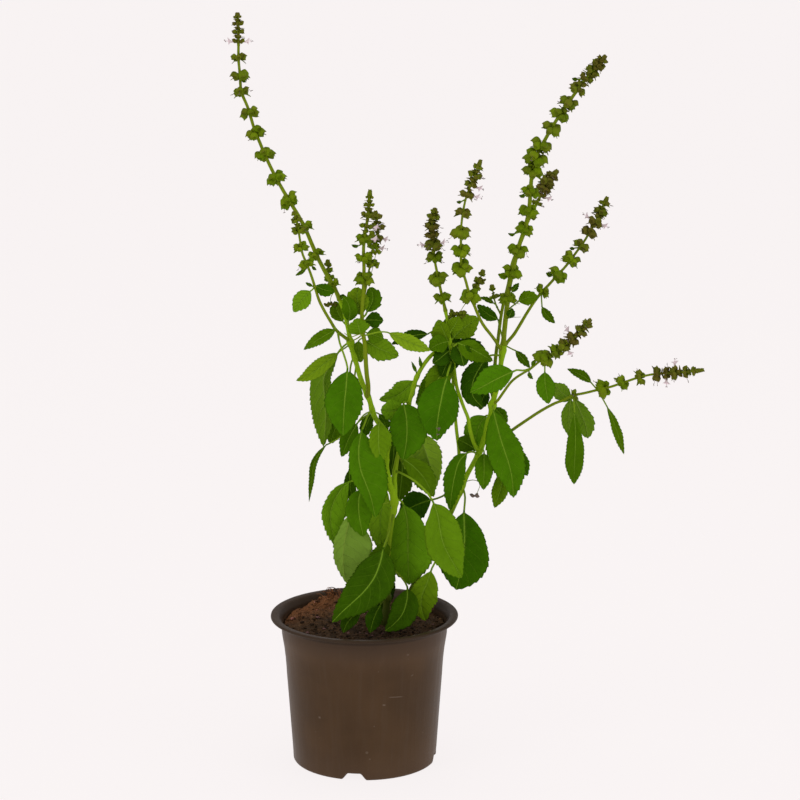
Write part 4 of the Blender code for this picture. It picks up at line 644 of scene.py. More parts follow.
def soil_material(name, dark, warm, pale, pale_share):
    """Coconut peat; redder and lighter towards the back left of the pot."""
    n = Nodes(name)
    where = n.coords()
    sep = n.add("ShaderNodeSeparateXYZ")
    n.link(where, sep.inputs[0])
    back_left = n.math("SUBTRACT", sep.outputs[1], n.math("MULTIPLY", sep.outputs[0], 0.9))
    red = n.span(back_left, 0.032, 0.072, 0.0, 0.9)
    # darker towards the front: painted shade under the foliage and the front rim
    front = n.span(sep.outputs[1], -0.030, 0.020, 0.55, 0.0)
    clump = n.noise(where, 120.0, 4.0, 0.65)
    fine = n.noise(where, 900.0, 5.0, 0.7)
    base = n.mix(n.span(clump, 0.35, 0.68), dark, warm)
    base = n.mix(red, base, tuple(c * k for c, k in zip(warm, (1.75, 1.30, 1.05))))
    base = n.mix(n.span(fine, 0.38, 0.62, 0.0, 0.55), base, tuple(c * 0.35 for c in dark))
    bits = n.noise(where, 420.0, 2.0)
    base = n.mix(n.span(bits, 0.62, 0.70, 0.0, pale_share), base, pale)
    base = n.mix(front, base, tuple(c * 0.5 for c in dark))
    n.link(base, n.bsdf.inputs["Base Color"])
    n.link(n.math("ADD", 0.82, n.math("MULTIPLY", fine, 0.16)), n.bsdf.inputs["Roughness"])
    n.bsdf.inputs["Specular IOR Level"].default_value = 0.15
    n.link(n.bump(n.math("ADD", fine, n.math("MULTIPLY", clump, 0.7)), 0.9, 0.0007), n.bsdf.inputs["Normal"])
    return n.mat


# ---------------------------------------------------------------- mesh building
class Shape:
    """Points, faces, a material number for each face, and the 'leaf' attributes."""

    def __init__(self, name):
        self.name = name
        self.points, self.faces, self.slots, self.info = [], [], [], []

    def skin(self, rings, info, slot, caps=(True, True), slots=None):
        """Closed body through rings (list of arrays k x 3). info has the same shape."""
        base = len(self.points)
        k = len(rings[0])
        for ring, inf in zip(rings, info):
            self.points.extend(map(tuple, ring))
            self.info.extend(map(tuple, inf))
        for r in range(len(rings) - 1):
            a, b = base + r * k, base + (r + 1) * k
            for i in range(k):
                j = (i + 1) % k
                self.faces.append((a + i, a + j, b + j, b + i))
                self.slots.append(slots[i] if slots is not None else slot)
        for cap, r in ((caps[0], 0), (caps[1], len(rings) - 1)):
            if not cap:
                continue
            mid = np.mean(np.asarray(rings[r]), axis=0)
            self.points.append(tuple(mid))
            self.info.append(tuple(np.mean(np.asarray(info[r]), axis=0)))
            m = len(self.points) - 1
            for i in range(k):
                j = (i + 1) % k
                a, b = base + r * k + i, base + r * k + j
                self.faces.append((b, a, m) if r == 0 else (a, b, m))
                self.slots.append(slots[i] if slots is not None else slot)

    def copy_in(self, points, faces, info, slot):
        base = len(self.points)
        self.points.extend(map(tuple, points))
        self.info.extend(map(tuple, info))
        for f in faces:
            self.faces.append(tuple(base + i for i in f))
            self.slots.append(slot)

    def finish(self, materials, sharp=None):
        mesh = bpy.data.meshes.new(self.name)
        mesh.from_pydata(self.points, [], self.faces)
        mesh.polygons.foreach_set("material_index", self.slots)
        rows = np.zeros((len(self.info), 6), dtype=np.float32)
        rows[:, 4] = 9.0
        for i, row in enumerate(self.info):
            rows[i, :len(row)] = row
        for name, cols in (("leaf", rows[:, :3]), ("leaf_more", rows[:, 3:])):
            att = mesh.attributes.new(name, "FLOAT_VECTOR", "POINT")
            att.data.foreach_set("vector", np.ascontiguousarray(cols).ravel())
        bm = bmesh.new()
        bm.from_mesh(mesh)
        bmesh.ops.recalc_face_normals(bm, faces=bm.faces)
        bm.to_mesh(mesh)
        bm.free()
        mesh.shade_smooth()
        if sharp:
            mesh.set_sharp_from_angle(angle=math.radians(sharp))
        for mat in materials:
            mesh.materials.append(mat)
        mesh.validate()
        ob = bpy.data.objects.new(self.name, mesh)
        bpy.context.scene.collection.objects.link(ob)
        return ob


EYE = np.array((EYE_X, EYE_Y, EYE_Z))


def world(points, n):
    return np.array([at(*p) for p in smooth(points, n)])


def unit(v):
    v = np.asarray(v, dtype=float)
    size = np.linalg.norm(v, axis=-1, keepdims=True)
    return v / np.maximum(size, 1e-12)


def tangents(line):
    t = np.empty_like(line)
    t[1:-1] = line[2:] - line[:-2]
    t[0] = line[1] - line[0]
    t[-1] = line[-1] - line[-2]
    return unit(t)


def steps_along(line):
    return np.concatenate([[0.0], np.cumsum(np.linalg.norm(np.diff(line, axis=0), axis=1))])


def at_step(line, dist, s):
    """Point on a line at arc length s."""
    return np.array([np.interp(s, dist, line[:, k]) for k in range(3)])


def frames(line, tan):
    """Side and front directions that stay flat to the front view."""
    look = unit(line - EYE)
    side = unit(np.cross(tan, look))
    front = np.cross(tan, side)
    return side, front


def tube(shape, line, radii, sides, tone, slot, square=0.0, rough=0.0, rng=None, flare=None):
    """Round or slightly four-sided stem along a line."""
    tan = tangents(line)
    side, front = frames(line, tan)
    ang = np.arange(sides) * 2 * math.pi / sides
    rings, info = [], []
    for i in range(len(line)):
        r = radii[i] * (1 + square * np.cos(4 * ang))
        if rng is not None and rough > 0:
            r = r * (1 + rough * np.array([rng.uniform(-1, 1) for _ in range(sides)]))
        rings.append(line[i] + side[i] * (np.cos(ang) * r)[:, None] + front[i] * (np.sin(ang) * r)[:, None])
        info.append(np.tile((0.5, i / max(len(line) - 1, 1), tone), (sides, 1)))
    shape.skin(rings, info, slot)


# ---------------------------------------------------------------- leaves
BLADE_S = np.array([0.0, 0.05, 0.13, 0.28, 0.44, 0.6, 0.76, 0.89, 1.0])
RING_TOP = np.concatenate([-BLADE_S[:0:-1], BLADE_S])          # left margin to right margin
VEINS = 7.0


def blade_profile(t, widest):
    t = np.asarray(t, dtype=float)
    low = np.sin(math.pi / 2 * np.clip(t / widest, 0, 1)) ** 0.72
    high = np.cos(math.pi / 2 * np.clip((t - widest) / (1 - widest), 0, 1)) ** 0.9
    return np.where(t < widest, low, high)


def vein_relief(t, s):
    w = (t - 0.17 * s - 0.07 * s * s) * VEINS
    near = np.abs(w - np.round(w))
    return np.exp(-(near / 0.13) ** 2) * np.clip((1.02 - s) / 0.35, 0, 1)


def leaf_stations(length, tooth):
    """Places along the blade: four for each tooth, closer at both ends."""
    out = [0.0, 0.012, 0.03, 0.055, 0.085]
    count = max(5, round(length * 0.88 / tooth))
    first, last = 0.11, 0.975
    for k in range(count):
        for phase in (0.0, 0.4, 0.78, 0.95):
            out.append(first + (last - first) * (k + phase) / count)
    out += [0.978, 0.99, 0.998]
    return out, count, first, last


def leaf(shape, petiole, midrib, width, widest, lean, turn, fold, face, painted_shade_tone_and_hue, seed):
    """One leaf: petiole and blade as a single closed skin. Slots: 0 upper side,
    1 underside, 2 petiole. Its look is (tone, hue), where tone is the leaf's own lightness together with painted light
    and shade."""
    tone, hue = painted_shade_tone_and_hue
    rng = random.Random(seed)
    small = width < 15
    stalk = world(list(petiole) + [midrib[0]], 30)
    blade = world(midrib, 60)
    line = np.vstack([stalk[:-1], blade])
    tan_all = tangents(line)
    n_stalk = len(stalk) - 1
    half_top = len(RING_TOP)
    length = steps_along(blade)[-1]
    left = width / 2 * (1 - lean) * MM
    right = width / 2 * (1 + lean) * MM
    size = math.sqrt(width / 26.0)

    rings, infos = [], []
    ang = np.concatenate([np.linspace(math.pi, 0.0, half_top), -np.linspace(0.0, math.pi, half_top)[1:-1]])
    # petiole
    for i in (0, 2, 5, 9, 14, 19, 24, 28):
        share = i / n_stalk
        p, tan = line[i], tan_all[i]
        look = unit(p - EYE) if face != 2 else np.array((0, 0, -1.0))
        side = unit(np.cross(tan, look))
        front = np.cross(tan, side)
        th = math.radians(turn * share)
        side, front = side * math.cos(th) + front * math.sin(th), front * math.cos(th) - side * math.sin(th)
        top = front if face > 0 else -front
        r = (0.62 + 0.10 * size + 0.45 * math.exp(-share / 0.07)) * MM * (0.8 if small else 1.0)
        groove = 1.0 - 0.18 * np.exp(-((ang - math.pi / 2) / 0.5) ** 2)
        ring = p + side * (np.cos(ang) * r)[:, None] + top * (np.sin(ang) * r * groove)[:, None]
        rings.append(ring)
        infos.append(np.tile((0.0, 0.0, min(tone + 0.25, 1.0), hue, 9.0), (len(ang), 1)))
    cut = len(rings)

    # blade
    tooth = (2.8 if small else 4.0) * MM
    ts, count, first, last = leaf_stations(length, tooth)
    phase = [rng.uniform(0, 6.28) for _ in range(6)]
    cup = 0.15 + rng.uniform(-0.05, 0.05)
    wave = (0.55 + rng.uniform(0, 0.45)) * MM * size
    dist = np.linspace(0, 1, len(blade))
    tan_b = tan_all[n_stalk:]
    high = (0.62 if small else 1.05) * MM
    uneven = [[rng.uniform(0.45, 1.15) for _ in range(count + 1)] for _ in range(2)]
    for t in ts:
        p = np.array([np.interp(t, dist, blade[:, k]) for k in range(3)])
        tan = unit(np.array([np.interp(t, dist, tan_b[:, k]) for k in range(3)]))
        look = unit(p - EYE) if face != 2 else np.array((0, 0, -1.0))
        side = unit(np.cross(tan, look))
        front = np.cross(tan, side)
        th = math.radians(turn)
        side, front = side * math.cos(th) + front * math.sin(th), front * math.cos(th) - side * math.sin(th)
        top = front if face > 0 else -front
        f = float(blade_profile(t, widest))
        rib = (0.75 - 0.55 * t) * MM * size * (0.8 if small else 1.0)
        floor_w = rib * 0.9 if t < 0.06 else 0.16 * MM
        cols = RING_TOP
        s = np.abs(cols)
        sign = np.sign(cols)
        # saw teeth: a slow rise and a quick step back, leaning to the tip
        saw, reach = 0.0, 0
        if first <= t <= last:
            x = (t - first) / (last - first) * count
            reach = min(int(x + 1e-6), count - 1)
            x -= reach
            saw = x / 0.80 if x < 0.80 else max(0.0, (0.97 - x) / 0.17)
        room = min(1.0, (t - 0.05) / 0.15) if t > 0.05 else 0.0
        hw = np.where(sign < 0, left * f * (1 + 0.03 * math.sin(5.1 * t + phase[4])),
                      right * f * (1 + 0.03 * math.sin(4.7 * t + phase[5])))
        tooth_up = np.where(sign < 0, uneven[0][reach], uneven[1][reach]) * high * (saw - 0.35) * room
        hw = np.maximum(hw, floor_w)
        fo = math.radians(fold) * (1.0 - 0.25 * t)
        # each half lifts by the fold, bulges between midrib and margin, and waves at the margin
        edge = np.clip((s - 0.76) / 0.24, 0, 1)
        out = np.cos(fo) * s * hw + edge * tooth_up * np.minimum(1.0, hw / (3.0 * MM))
        up = np.sin(fo) * s * hw + cup * hw * (s * (1.15 - s)) - 0.06 * hw * s ** 3
        ph = np.where(sign < 0, phase[0], phase[1])
        ph2 = np.where(sign < 0, phase[2], phase[3])
        ends = math.sin(math.pi * min(max(t, 0.0), 1.0))
        up = up + wave * ends * s ** 2 * (np.sin(2 * math.pi * 1.7 * t + ph) + 0.45 * np.sin(2 * math.pi * 4.1 * t + ph2))
        out = out + 0.35 * wave * ends * s ** 2 * np.sin(2 * math.pi * 2.9 * t + ph2)
        quilt = vein_relief(t, s) * (0.20 * MM * size) * ends
        groove = np.exp(-(s * hw / (0.50 * MM)) ** 2) * 0.30 * MM * size * (1 - 0.5 * t)
        mid = up - quilt - groove
        thick = (0.14 + 0.05 * (1 - s)) * MM
        ridge = np.exp(-(s * hw / (0.75 * rib + 1e-6)) ** 2) * rib * (1.0 if t < 0.93 else 0.4)
        taper = 1.0 if t < 0.9 else max(0.35, (1.0 - t) / 0.1)
        top_up = mid + thick * taper
        low_up = mid - thick * taper - ridge * taper
        if t < 0.06:
            # the petiole's round section opens into the blade
            k = min(t / 0.06, 1.0)
            r0 = (0.62 + 0.10 * size) * MM * (0.8 if small else 1.0)
            round_up = np.sqrt(np.clip(1 - cols ** 2, 0, 1)) * r0
            top_up = top_up * k + (round_up * 0.8) * (1 - k)
            low_up = low_up * k - (round_up) * (1 - k)
            out = out * k + s * np.maximum(hw * 0.6, r0) * (1 - k)
        side_c = (sign * out)[:, None] * side + (edge * saw * room * 0.45 * high)[:, None] * tan
        ring_top = p + side_c + top * top_up[:, None]
        ring_low = (p + side_c + top * low_up[:, None])[::-1][1:-1]
        rings.append(np.vstack([ring_top, ring_low]))
        inf_top = np.stack([cols, np.full_like(cols, t), np.full_like(cols, tone), np.full_like(cols, hue),
                            s * hw / rib], axis=1)
        infos.append(np.vstack([inf_top, inf_top[::-1][1:-1]]))
    top_faces = half_top
    total = len(ang)
    slots = [0] * (top_faces - 1) + [1] * (total - top_faces + 1)
    base = len(shape.slots)
    shape.skin(rings, infos, 0, slots=slots)
    # the petiole's faces take its own material
    for r in range(cut - 1):
        for i in range(total):
            shape.slots[base + r * total + i] = 2
    first_cap = base + (len(rings) - 1) * total
    for i in range(total):
        shape.slots[first_cap + i] = 2


# ---------------------------------------------------------------- flower whorls
def make_calyx(around=12):
    """Ripe calyx along +X from its foot at 0 to its pointed hood at 1: a rounded body, a
    hood drawn to a point on the +Z side, small teeth below and a shallow mouth.
    Returns points, faces and 'along'."""
    ang = np.arange(around) * 2 * math.pi / around          # 0 = up
    turned = np.minimum(ang, 2 * math.pi - ang)
    hood = np.exp(-(turned / 0.85) ** 2)
    teeth = np.exp(-(((np.abs(ang - math.pi) - 0.45) / 0.25) ** 2))
    ribs = 1 + 0.06 * np.cos(ang * 5)
    outer = [(np.full(around, x), np.full(around, r) * ribs)
             for x, r in ((0.0, 0.07), (0.05, 0.17), (0.16, 0.265), (0.32, 0.315), (0.48, 0.305))]
    lip_x = 0.70 + 0.27 * hood + 0.12 * teeth
    lip_r = 0.250 - 0.03 * hood
    outer.append((0.48 + (lip_x - 0.48) * 0.55, 0.300 - 0.4 * (0.300 - lip_r)))
    outer.append((lip_x, lip_r))
    inner = [(lip_x - 0.02, lip_r - 0.035), (np.full(around, 0.60), np.full(around, 0.17)),
             (np.full(around, 0.52), np.full(around, 0.06))]
    pts, along, faces = [], [], []
    for x, r in outer + inner:
        for k in range(around):
            drop = -0.10 * max(x[k] - 0.5, 0.0)
            pts.append((x[k], math.sin(ang[k]) * r[k], math.cos(ang[k]) * r[k] + drop))
            along.append(min(x[k], 1.0))
    rows = len(outer) + len(inner)
    for r in range(rows - 1):
        for k in range(around):
            j = (k + 1) % around
            faces.append((r * around + k, r * around + j, (r + 1) * around + j, (r + 1) * around + k))
    pts.append((0.0, 0.0, 0.0))
    along.append(0.0)
    pts.append((0.50, 0.0, 0.0))
    along.append(0.45)
    a, b = len(pts) - 2, len(pts) - 1
    last = (rows - 1) * around
    for k in range(around):
        j = (k + 1) % around
        faces.append((j, k, a))
        faces.append((last + k, last + j, b))
    return np.array(pts), faces, np.array(along)


def make_bud(around=8):
    """Closed pointed bud along +X, 0 to 1."""
    ang = np.arange(around) * 2 * math.pi / around
    pts, along, faces = [], [], []
    rows = ((0.0, 0.10), (0.15, 0.24), (0.38, 0.31), (0.62, 0.27), (0.82, 0.16), (0.95, 0.05))
    for x, r in rows:
        for a in ang:
            pts.append((x, math.sin(a) * r, math.cos(a) * r + 0.10 * x * x))
            along.append(x)
    for r in range(len(rows) - 1):
        for k in range(around):
            j = (k + 1) % around
            faces.append((r * around + k, r * around + j, (r + 1) * around + j, (r + 1) * around + k))
    pts += [(0.0, 0.0, 0.0), (1.0, 0.0, 0.10)]
    along += [0.0, 1.0]
    a, b = len(pts) - 2, len(pts) - 1
    last = (len(rows) - 1) * around
    for k in range(around):
        j = (k + 1) % around
        faces.append((j, k, a))
        faces.append((last + k, last + j, b))
    return np.array(pts), faces, np.array(along)


def make_bract():
    """Small pointed heart-shaped leaf along +X, slightly hollow towards +Z."""
    ts = (0.0, 0.08, 0.22, 0.4, 0.6, 0.8, 0.95)
    cols = (-1.0, -0.5, 0.0, 0.5, 1.0)
    rings, along = [], []
    for t in ts:
        w = max(0.30 * float(blade_profile(t, 0.3)), 0.03)
        top = [(t, c * w, 0.10 * c * c * w * 2 - 0.06 * (t * 2 - 0.4) ** 2 + 0.015) for c in cols]
        low = [(x, y, z - 0.035) for x, y, z in top[::-1]]
        rings.append(top + low)
        along += [t] * (2 * len(cols))
    k = 2 * len(cols)
    pts = [p for ring in rings for p in ring]
    faces = []
    for r in range(len(ts) - 1):
        for i in range(k):
            j = (i + 1) % k
            faces.append((r * k + i, r * k + j, (r + 1) * k + j, (r + 1) * k + i))
    for row in (0, len(ts) - 1):
        quad = [row * k + i for i in range(k)]
        faces.append(tuple(quad[::-1]) if row == 0 else tuple(quad))
    return np.array(pts), faces, np.array(along)


def make_floret():
    """Small two-lipped flower along +X: tube, four-lobed upper lip, one lower lip."""
    around = 12
    ang = np.arange(around) * 2 * math.pi / around
    rows = ((0.0, 0.07, 0.0), (0.35, 0.09, 0.0), (0.55, 0.15, 0.0), (0.72, 0.27, 0.35), (0.82, 0.36, 1.0))
    pts, faces = [], []
    for x, r, lobe in rows:
        for a in ang:
            rr = r * (1 + 0.22 * lobe * math.cos(5 * a))
            pts.append((x + 0.14 * lobe * math.cos(a), math.sin(a) * rr, math.cos(a) * rr))
    for x, r in ((0.79, 0.31), (0.6, 0.12), (0.4, 0.05)):
        for a in ang:
            rr = r * (1 + (0.2 * math.cos(5 * a) if x > 0.7 else 0))
            pts.append((x + (0.14 * math.cos(a) if x > 0.7 else 0), math.sin(a) * rr, math.cos(a) * rr))
    n = 8
    for r in range(n - 1):
        for k in range(around):
            j = (k + 1) % around
            faces.append((r * around + k, r * around + j, (r + 1) * around + j, (r + 1) * around + k))
    pts += [(0.0, 0.0, 0.0), (0.4, 0.0, 0.0)]
    a, b = len(pts) - 2, len(pts) - 1
    last = (n - 1) * around
    for k in range(around):
        j = (k + 1) % around
        faces.append((j, k, a))
        faces.append((last + k, last + j, b))
    return np.array(pts), faces


CALYX, BUD, BRACT, FLORET = make_calyx(), make_bud(), make_bract(), make_floret()


def place(points, foot, way, up, size, wide=1.0, tall=None):
    """Moves a +X shape to a foot point, pointing along way with its +Z side towards up."""
    x = unit(way)
    y = unit(np.cross(up, x))
    z = np.cross(x, y)
    p = points * np.array((1.0, wide, tall or wide)) * size
    return foot + p[:, :1] * x + p[:, 1:2] * y + p[:, 2:3] * z


def thread(shape, points, radius, slot, info=(0.5, 0.5, 0.5), sides=5):
    line = np.array(points)
    tan = tangents(line)
    ref = np.array((0.13, 0.2, 1.0))
    side = unit(np.cross(tan, ref))
    front = np.cross(tan, side)
    ang = np.arange(sides) * 2 * math.pi / sides
    rings, infos = [], []
    for i in range(len(line)):
        r = radius * (1.0 - 0.45 * i / (len(line) - 1))
        rings.append(line[i] + side[i] * (np.cos(ang) * r)[:, None] + front[i] * (np.sin(ang) * r)[:, None])
        infos.append(np.tile(info, (sides, 1)))
    shape.skin(rings, infos, slot)


# whorl character for each spike: how green its calyces are, and how purple they are at
# the lowest whorl, where the flowers are open and at the tip
SPIKE_TINT = {
    "flower_spike_left_tall": (0.55, 0.00, 0.35, 0.75),
    "flower_spike_left_bud": (0.45, 0.10, 0.20, 0.30),
    "flower_spike_left_side": (0.65, 0.10, 0.45, 0.45),
    "flower_spike_centre": (0.60, 0.02, 0.60, 0.40),
    "flower_spike_centre_small": (0.62, 0.15, 0.75, 0.65),
    "flower_spike_middle": (0.50, 0.15, 1.00, 0.50),
    "flower_spike_right_inner": (0.60, 0.00, 0.90, 0.55),
    "flower_spike_right_inner_bud": (0.50, 0.50, 0.55, 0.40),
    "flower_spike_right_tall": (0.52, 0.00, 0.30, 0.75),
    "flower_spike_right_back": (0.45, 0.35, 0.95, 0.75),
    "flower_shoot_right": (0.50, 0.20, 0.40, 0.30),
    "flower_spike_right_outer": (0.55, 0.02, 0.95, 0.50),
    "flower_spike_right_low": (0.55, 0.20, 1.00, 0.60),
    "flower_spike_far_right": (0.60, 0.02, 0.95, 0.60),
}


# open flowers: spike, whorl, and where around the stalk (0 = left, 180 = right on an upright one)
FLOWERS = {
    "flower_spike_left_tall": {11: (5, 175)},
    "flower_spike_centre": {2: (160,), 3: (165,)},
    "flower_spike_centre_small": {1: (178,), 2: (172,)},
    "flower_spike_middle": {3: (0, 178)},
    "flower_spike_right_inner": {5: (178,), 6: (172,)},
    "flower_spike_right_outer": {5: (172, 0)},
    "flower_spike_right_low": {2: (168,), 3: (-5,)},
    "flower_spike_far_right": {5: (170,), 6: (-5,)},
    "flower_spike_right_back": {3: (170,)},
}


def ease(x, a, b):
    t = min(max((x - a) / (b - a), 0.0), 1.0)
    return t * t * (3.0 - 2.0 * t)


def build_spike(name, parent, r, points, whorls, materials):
    shape = Shape(name + "_fine")
    rng = random.Random(len(name) * 131 + round(points[0][0]))
    n = 400
    sheet = smooth(points, n)
    line = np.array([at(*p) for p in sheet])
    dist = steps_along(line)
    total = dist[-1]
    green, low_purple, open_purple, tip_purple = SPIKE_TINT[name]

    # stalk, a little swollen at each whorl
    marks = []
    for u, v, w in whorls:
        i = min(range(n + 1), key=lambda k: (sheet[k][0] - u) ** 2 + (sheet[k][1] - v) ** 2)
        scale = np.linalg.norm(line[i] - EYE) / SHEET_SCALE
        marks.append((dist[i], w / 2 * scale))
    count = max(14, round(total / (2.6 * MM)))
    s_at = np.linspace(0.0, total, count)
    pts = np.array([at_step(line, dist, s) for s in s_at])
    rad = np.array([r * MM * (1.0 - 0.45 * s / total) for s in s_at])
    for s_m, _ in marks:
        rad = rad * (1 + 0.30 * np.exp(-((s_at - s_m) / (1.6 * MM)) ** 2))
    rad = rad * (1 + 0.45 * np.exp(-(s_at / (2.2 * MM)) ** 2))
    tube(shape, pts, rad, 10, 0.5, 0, square=0.07, rough=0.03, rng=rng)

    tan_line = tangents(line)
    spin = rng.uniform(0, 1.0)
    for m, (s_m, big) in enumerate(marks):
        p = at_step(line, dist, s_m)
        tan = unit(np.array([np.interp(s_m, dist, tan_line[:, k]) for k in range(3)]))
        side, front = frames(p[None], tan[None])
        side, front = side[0], front[0]
        share = m / max(len(marks) - 1, 1)
        purple = low_purple + (open_purple - low_purple) * ease(share, 0.2, 0.6)
        purple += (tip_purple - purple) * ease(share, 0.60, 0.86)
        spin += math.radians(30)
        tip = big < 5.6 * MM
        bud = big < 4.2 * MM
        ripe = min(max((big - 4.5 * MM) / (2.6 * MM), 0.0), 1.0)
        gap = (marks[m + 1][0] - s_m) if m + 1 < len(marks) else (total - s_m)
        for k in range(7):
            a = spin + k * math.pi / 3.5 + rng.uniform(-0.17, 0.17)
            out = side * math.cos(a) + front * math.sin(a)
            droop = math.radians(30 * ripe - 20 * (1 - ripe) + rng.uniform(-13, 13))
            way = unit(out * math.cos(droop) - tan * math.sin(droop) + np.array((0, 0, -0.10 * ripe)))
            foot = p + out * 0.8 * r * MM + tan * (0.30 * ripe * (k % 2) + 0.10 + rng.uniform(-0.10, 0.10)) * big
            stalk_len = (0.10 + 0.05 * rng.uniform(-1, 1)) * big * (0.6 if bud else 1.0)
            knee = foot + unit(out - tan * 0.05) * stalk_len * 0.6
            start = knee + way * stalk_len * 0.5
            thread(shape, [foot, knee, start + way * 0.05 * big], 0.32 * MM, 0, (0.5, 0.5, 0.7), 6)
            size = (big - np.dot(start - p, out)) / max(math.cos(droop), 0.62) * rng.uniform(1.00, 1.16)
            size = max(size, 0.55 * big)
            tint = (0.0, green + rng.uniform(-0.22, 0.22), min(max(purple + rng.uniform(-0.2, 0.2), 0), 1))
            if bud or (tip and k % 2 == 0):
                tmpl, wide = BUD, rng.uniform(1.25, 1.50)
            else:
                tmpl, wide = CALYX, rng.uniform(1.25, 1.50)
            info = np.stack([tmpl[2], np.full(len(tmpl[2]), tint[1]), np.full(len(tmpl[2]), tint[2])], axis=1)
            shape.copy_in(place(tmpl[0], start, way, tan, size, wide * 1.04, wide * rng.uniform(0.94, 1.12)), tmpl[1], info, 1)
            if not bud and rng.random() < 0.10:
                # a withered style hangs from the mouth and ends in two dark dry branches
                tip_p = start + way * size * 0.8
                drift = unit(way + np.array((rng.uniform(-.5, .5), rng.uniform(-.5, .5), -0.6)))
                far = tip_p + drift * rng.uniform(1.6, 3.6) * MM
                bend = (tip_p + far) / 2 + np.array((0, 0, -0.4 * MM))
                thread(shape, [start + way * size * 0.5, tip_p, bend, far], 0.20 * MM, 3, (0.5, 0.5, 0.5))
                for turn_k in (-1, 1):
                    way2 = unit(drift * 0.4 + side * 0.9 * turn_k + np.array((0, 0, rng.uniform(-.1, .5))))
                    shape.copy_in(place(BUD[0], far - way2 * 0.3 * MM, way2, tan, rng.uniform(1.1, 1.8) * MM, 0.5), BUD[1],
                                  np.tile((0.6, 0.5, 0.9), (len(BUD[0]), 1)), 3)
        # open flowers: small pale pink, with stamens that stand out
        for degrees in FLOWERS.get(name, {}).get(m, ()):
            a = math.radians(degrees)
            out = side * math.cos(a) + front * math.sin(a)
            way = unit(out + tan * 0.12)
            start = p + way * big * 0.62
            size = 5.6 * MM
            shape.copy_in(place(FLORET[0], start, way, tan, size, 1.2), FLORET[1],
                          np.tile((0.5, 0.5, 0.5), (len(FLORET[0]), 1)), 2)
            for k in range(4):
                turn_k = out * rng.uniform(0.7, 1.1) + side * rng.uniform(-.35, .35) + tan * (0.10 * k - 0.05)
                far = start + way * size * 0.55 + unit(turn_k) * rng.uniform(2.6, 4.2) * MM
                mid_p = start + way * size * 0.75 + np.array((0, 0, 0.25 * MM))
                thread(shape, [start + way * size * 0.45, mid_p, far], 0.11 * MM, 2, (0.5, 0.5, 0.5))
                shape.copy_in(place(BUD[0], far, unit(turn_k), tan, 0.75 * MM, 1.1), BUD[1],
                              np.tile((0.6, 0.5, 0.9), (len(BUD[0]), 1)), 3)
        # pointed bracts: two under an open whorl, more and steeper among the buds
        for k in range(4 if tip else 2):
            a = k * (math.pi / 2 if tip else math.pi) + rng.uniform(-0.45, 0.45)
            out = side * math.cos(a) + front * math.sin(a)
            lift = rng.uniform(0.15, 0.65) if tip else -rng.uniform(0.0, 0.40)
            way = unit(out + tan * lift + np.array((0, 0, 0.0 if tip else -0.12)))
            size = 1.10 * big * rng.uniform(0.9, 1.10)
            info = np.stack([BRACT[2], np.full(len(BRACT[2]), green), np.full(len(BRACT[2]), purple * 0.8)], axis=1)
            shape.copy_in(place(BRACT[0], p - tan * 0.10 * big, way, tan, size, 1.0), BRACT[1], info, 1)
        # the upper whorls crowd together: young buds and bracts fill the stalk between them
        if m + 1 < len(marks) and gap < 10.6 * MM:
            near_tip = share > 0.64
            rows = max(1, round(gap / (3.9 * MM)) - 1)
            for row in range(rows):
                along_gap = (row + 1.0) / (rows + 1.0)
                near = (big + (marks[m + 1][1] - big) * along_gap) * (0.84 if near_tip else 0.66)
                for k in range(6 if near_tip else 4):
                    p_b = at_step(line, dist, s_m + gap * (along_gap + rng.uniform(-0.06, 0.06)))
                    a = spin + 0.5 + 0.55 * row + k * math.pi / (3 if near_tip else 2) + rng.uniform(-0.2, 0.2)
                    out = side * math.cos(a) + front * math.sin(a)
                    tmpl = BRACT if (k + row) % 2 == 0 else BUD
                    far = near * (1.25 if tmpl is BRACT else rng.uniform(0.75, 1.0))
                    info = np.stack([tmpl[2], np.full(len(tmpl[2]), green + rng.uniform(-0.2, 0.15)),
                                     np.full(len(tmpl[2]), min(purple + rng.uniform(-0.1, 0.2), 1))], axis=1)
                    shape.copy_in(place(tmpl[0], p_b, unit(out + tan * rng.uniform(0.25, 0.65)), tan, far, 1.25), tmpl[1], info, 1)
    # closing buds at the tip
    s_last, big = marks[-1]
    for k in range(16):
        s = s_last + (total - s_last) * (0.10 + 0.055 * k)
        p = at_step(line, dist, min(s, total))
        tan = unit(tan_line[-2])
        side, front = frames(p[None], tan[None])
        a = spin + k * 2.4
        out = side[0] * math.cos(a) + front[0] * math.sin(a)
        info = np.stack([BUD[2], np.full(len(BUD[2]), green), np.full(len(BUD[2]), tip_purple)], axis=1)
        size = min(max(3.4 * MM, 0.8 * big) * (1.0 - 0.02 * k), total - s + 1.6 * MM)
        shape.copy_in(place(BUD[0], p, unit(out * 0.8 + tan), tan, size, 1.15), BUD[1], info, 1)
    ob = shape.finish(materials, 60)
    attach(ob, "root")
    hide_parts(name)
    return ob


# ---------------------------------------------------------------- pot
ARCHES = 4
ARCH_FIRST = math.radians(-98.0)
ARCH_HALF = 9.8 / 53.8
POT_TOP = 112.6


def arch_lift(theta):
    best = min(abs((theta - (ARCH_FIRST + 2 * math.pi / ARCHES * k) + math.pi) % (2 * math.pi) - math.pi)
               for k in range(ARCHES))
    x = min(max((best / ARCH_HALF - 0.44) / 0.58, 0.0), 1.0)
    return 1.0 - x * x * (3.0 - 2.0 * x)


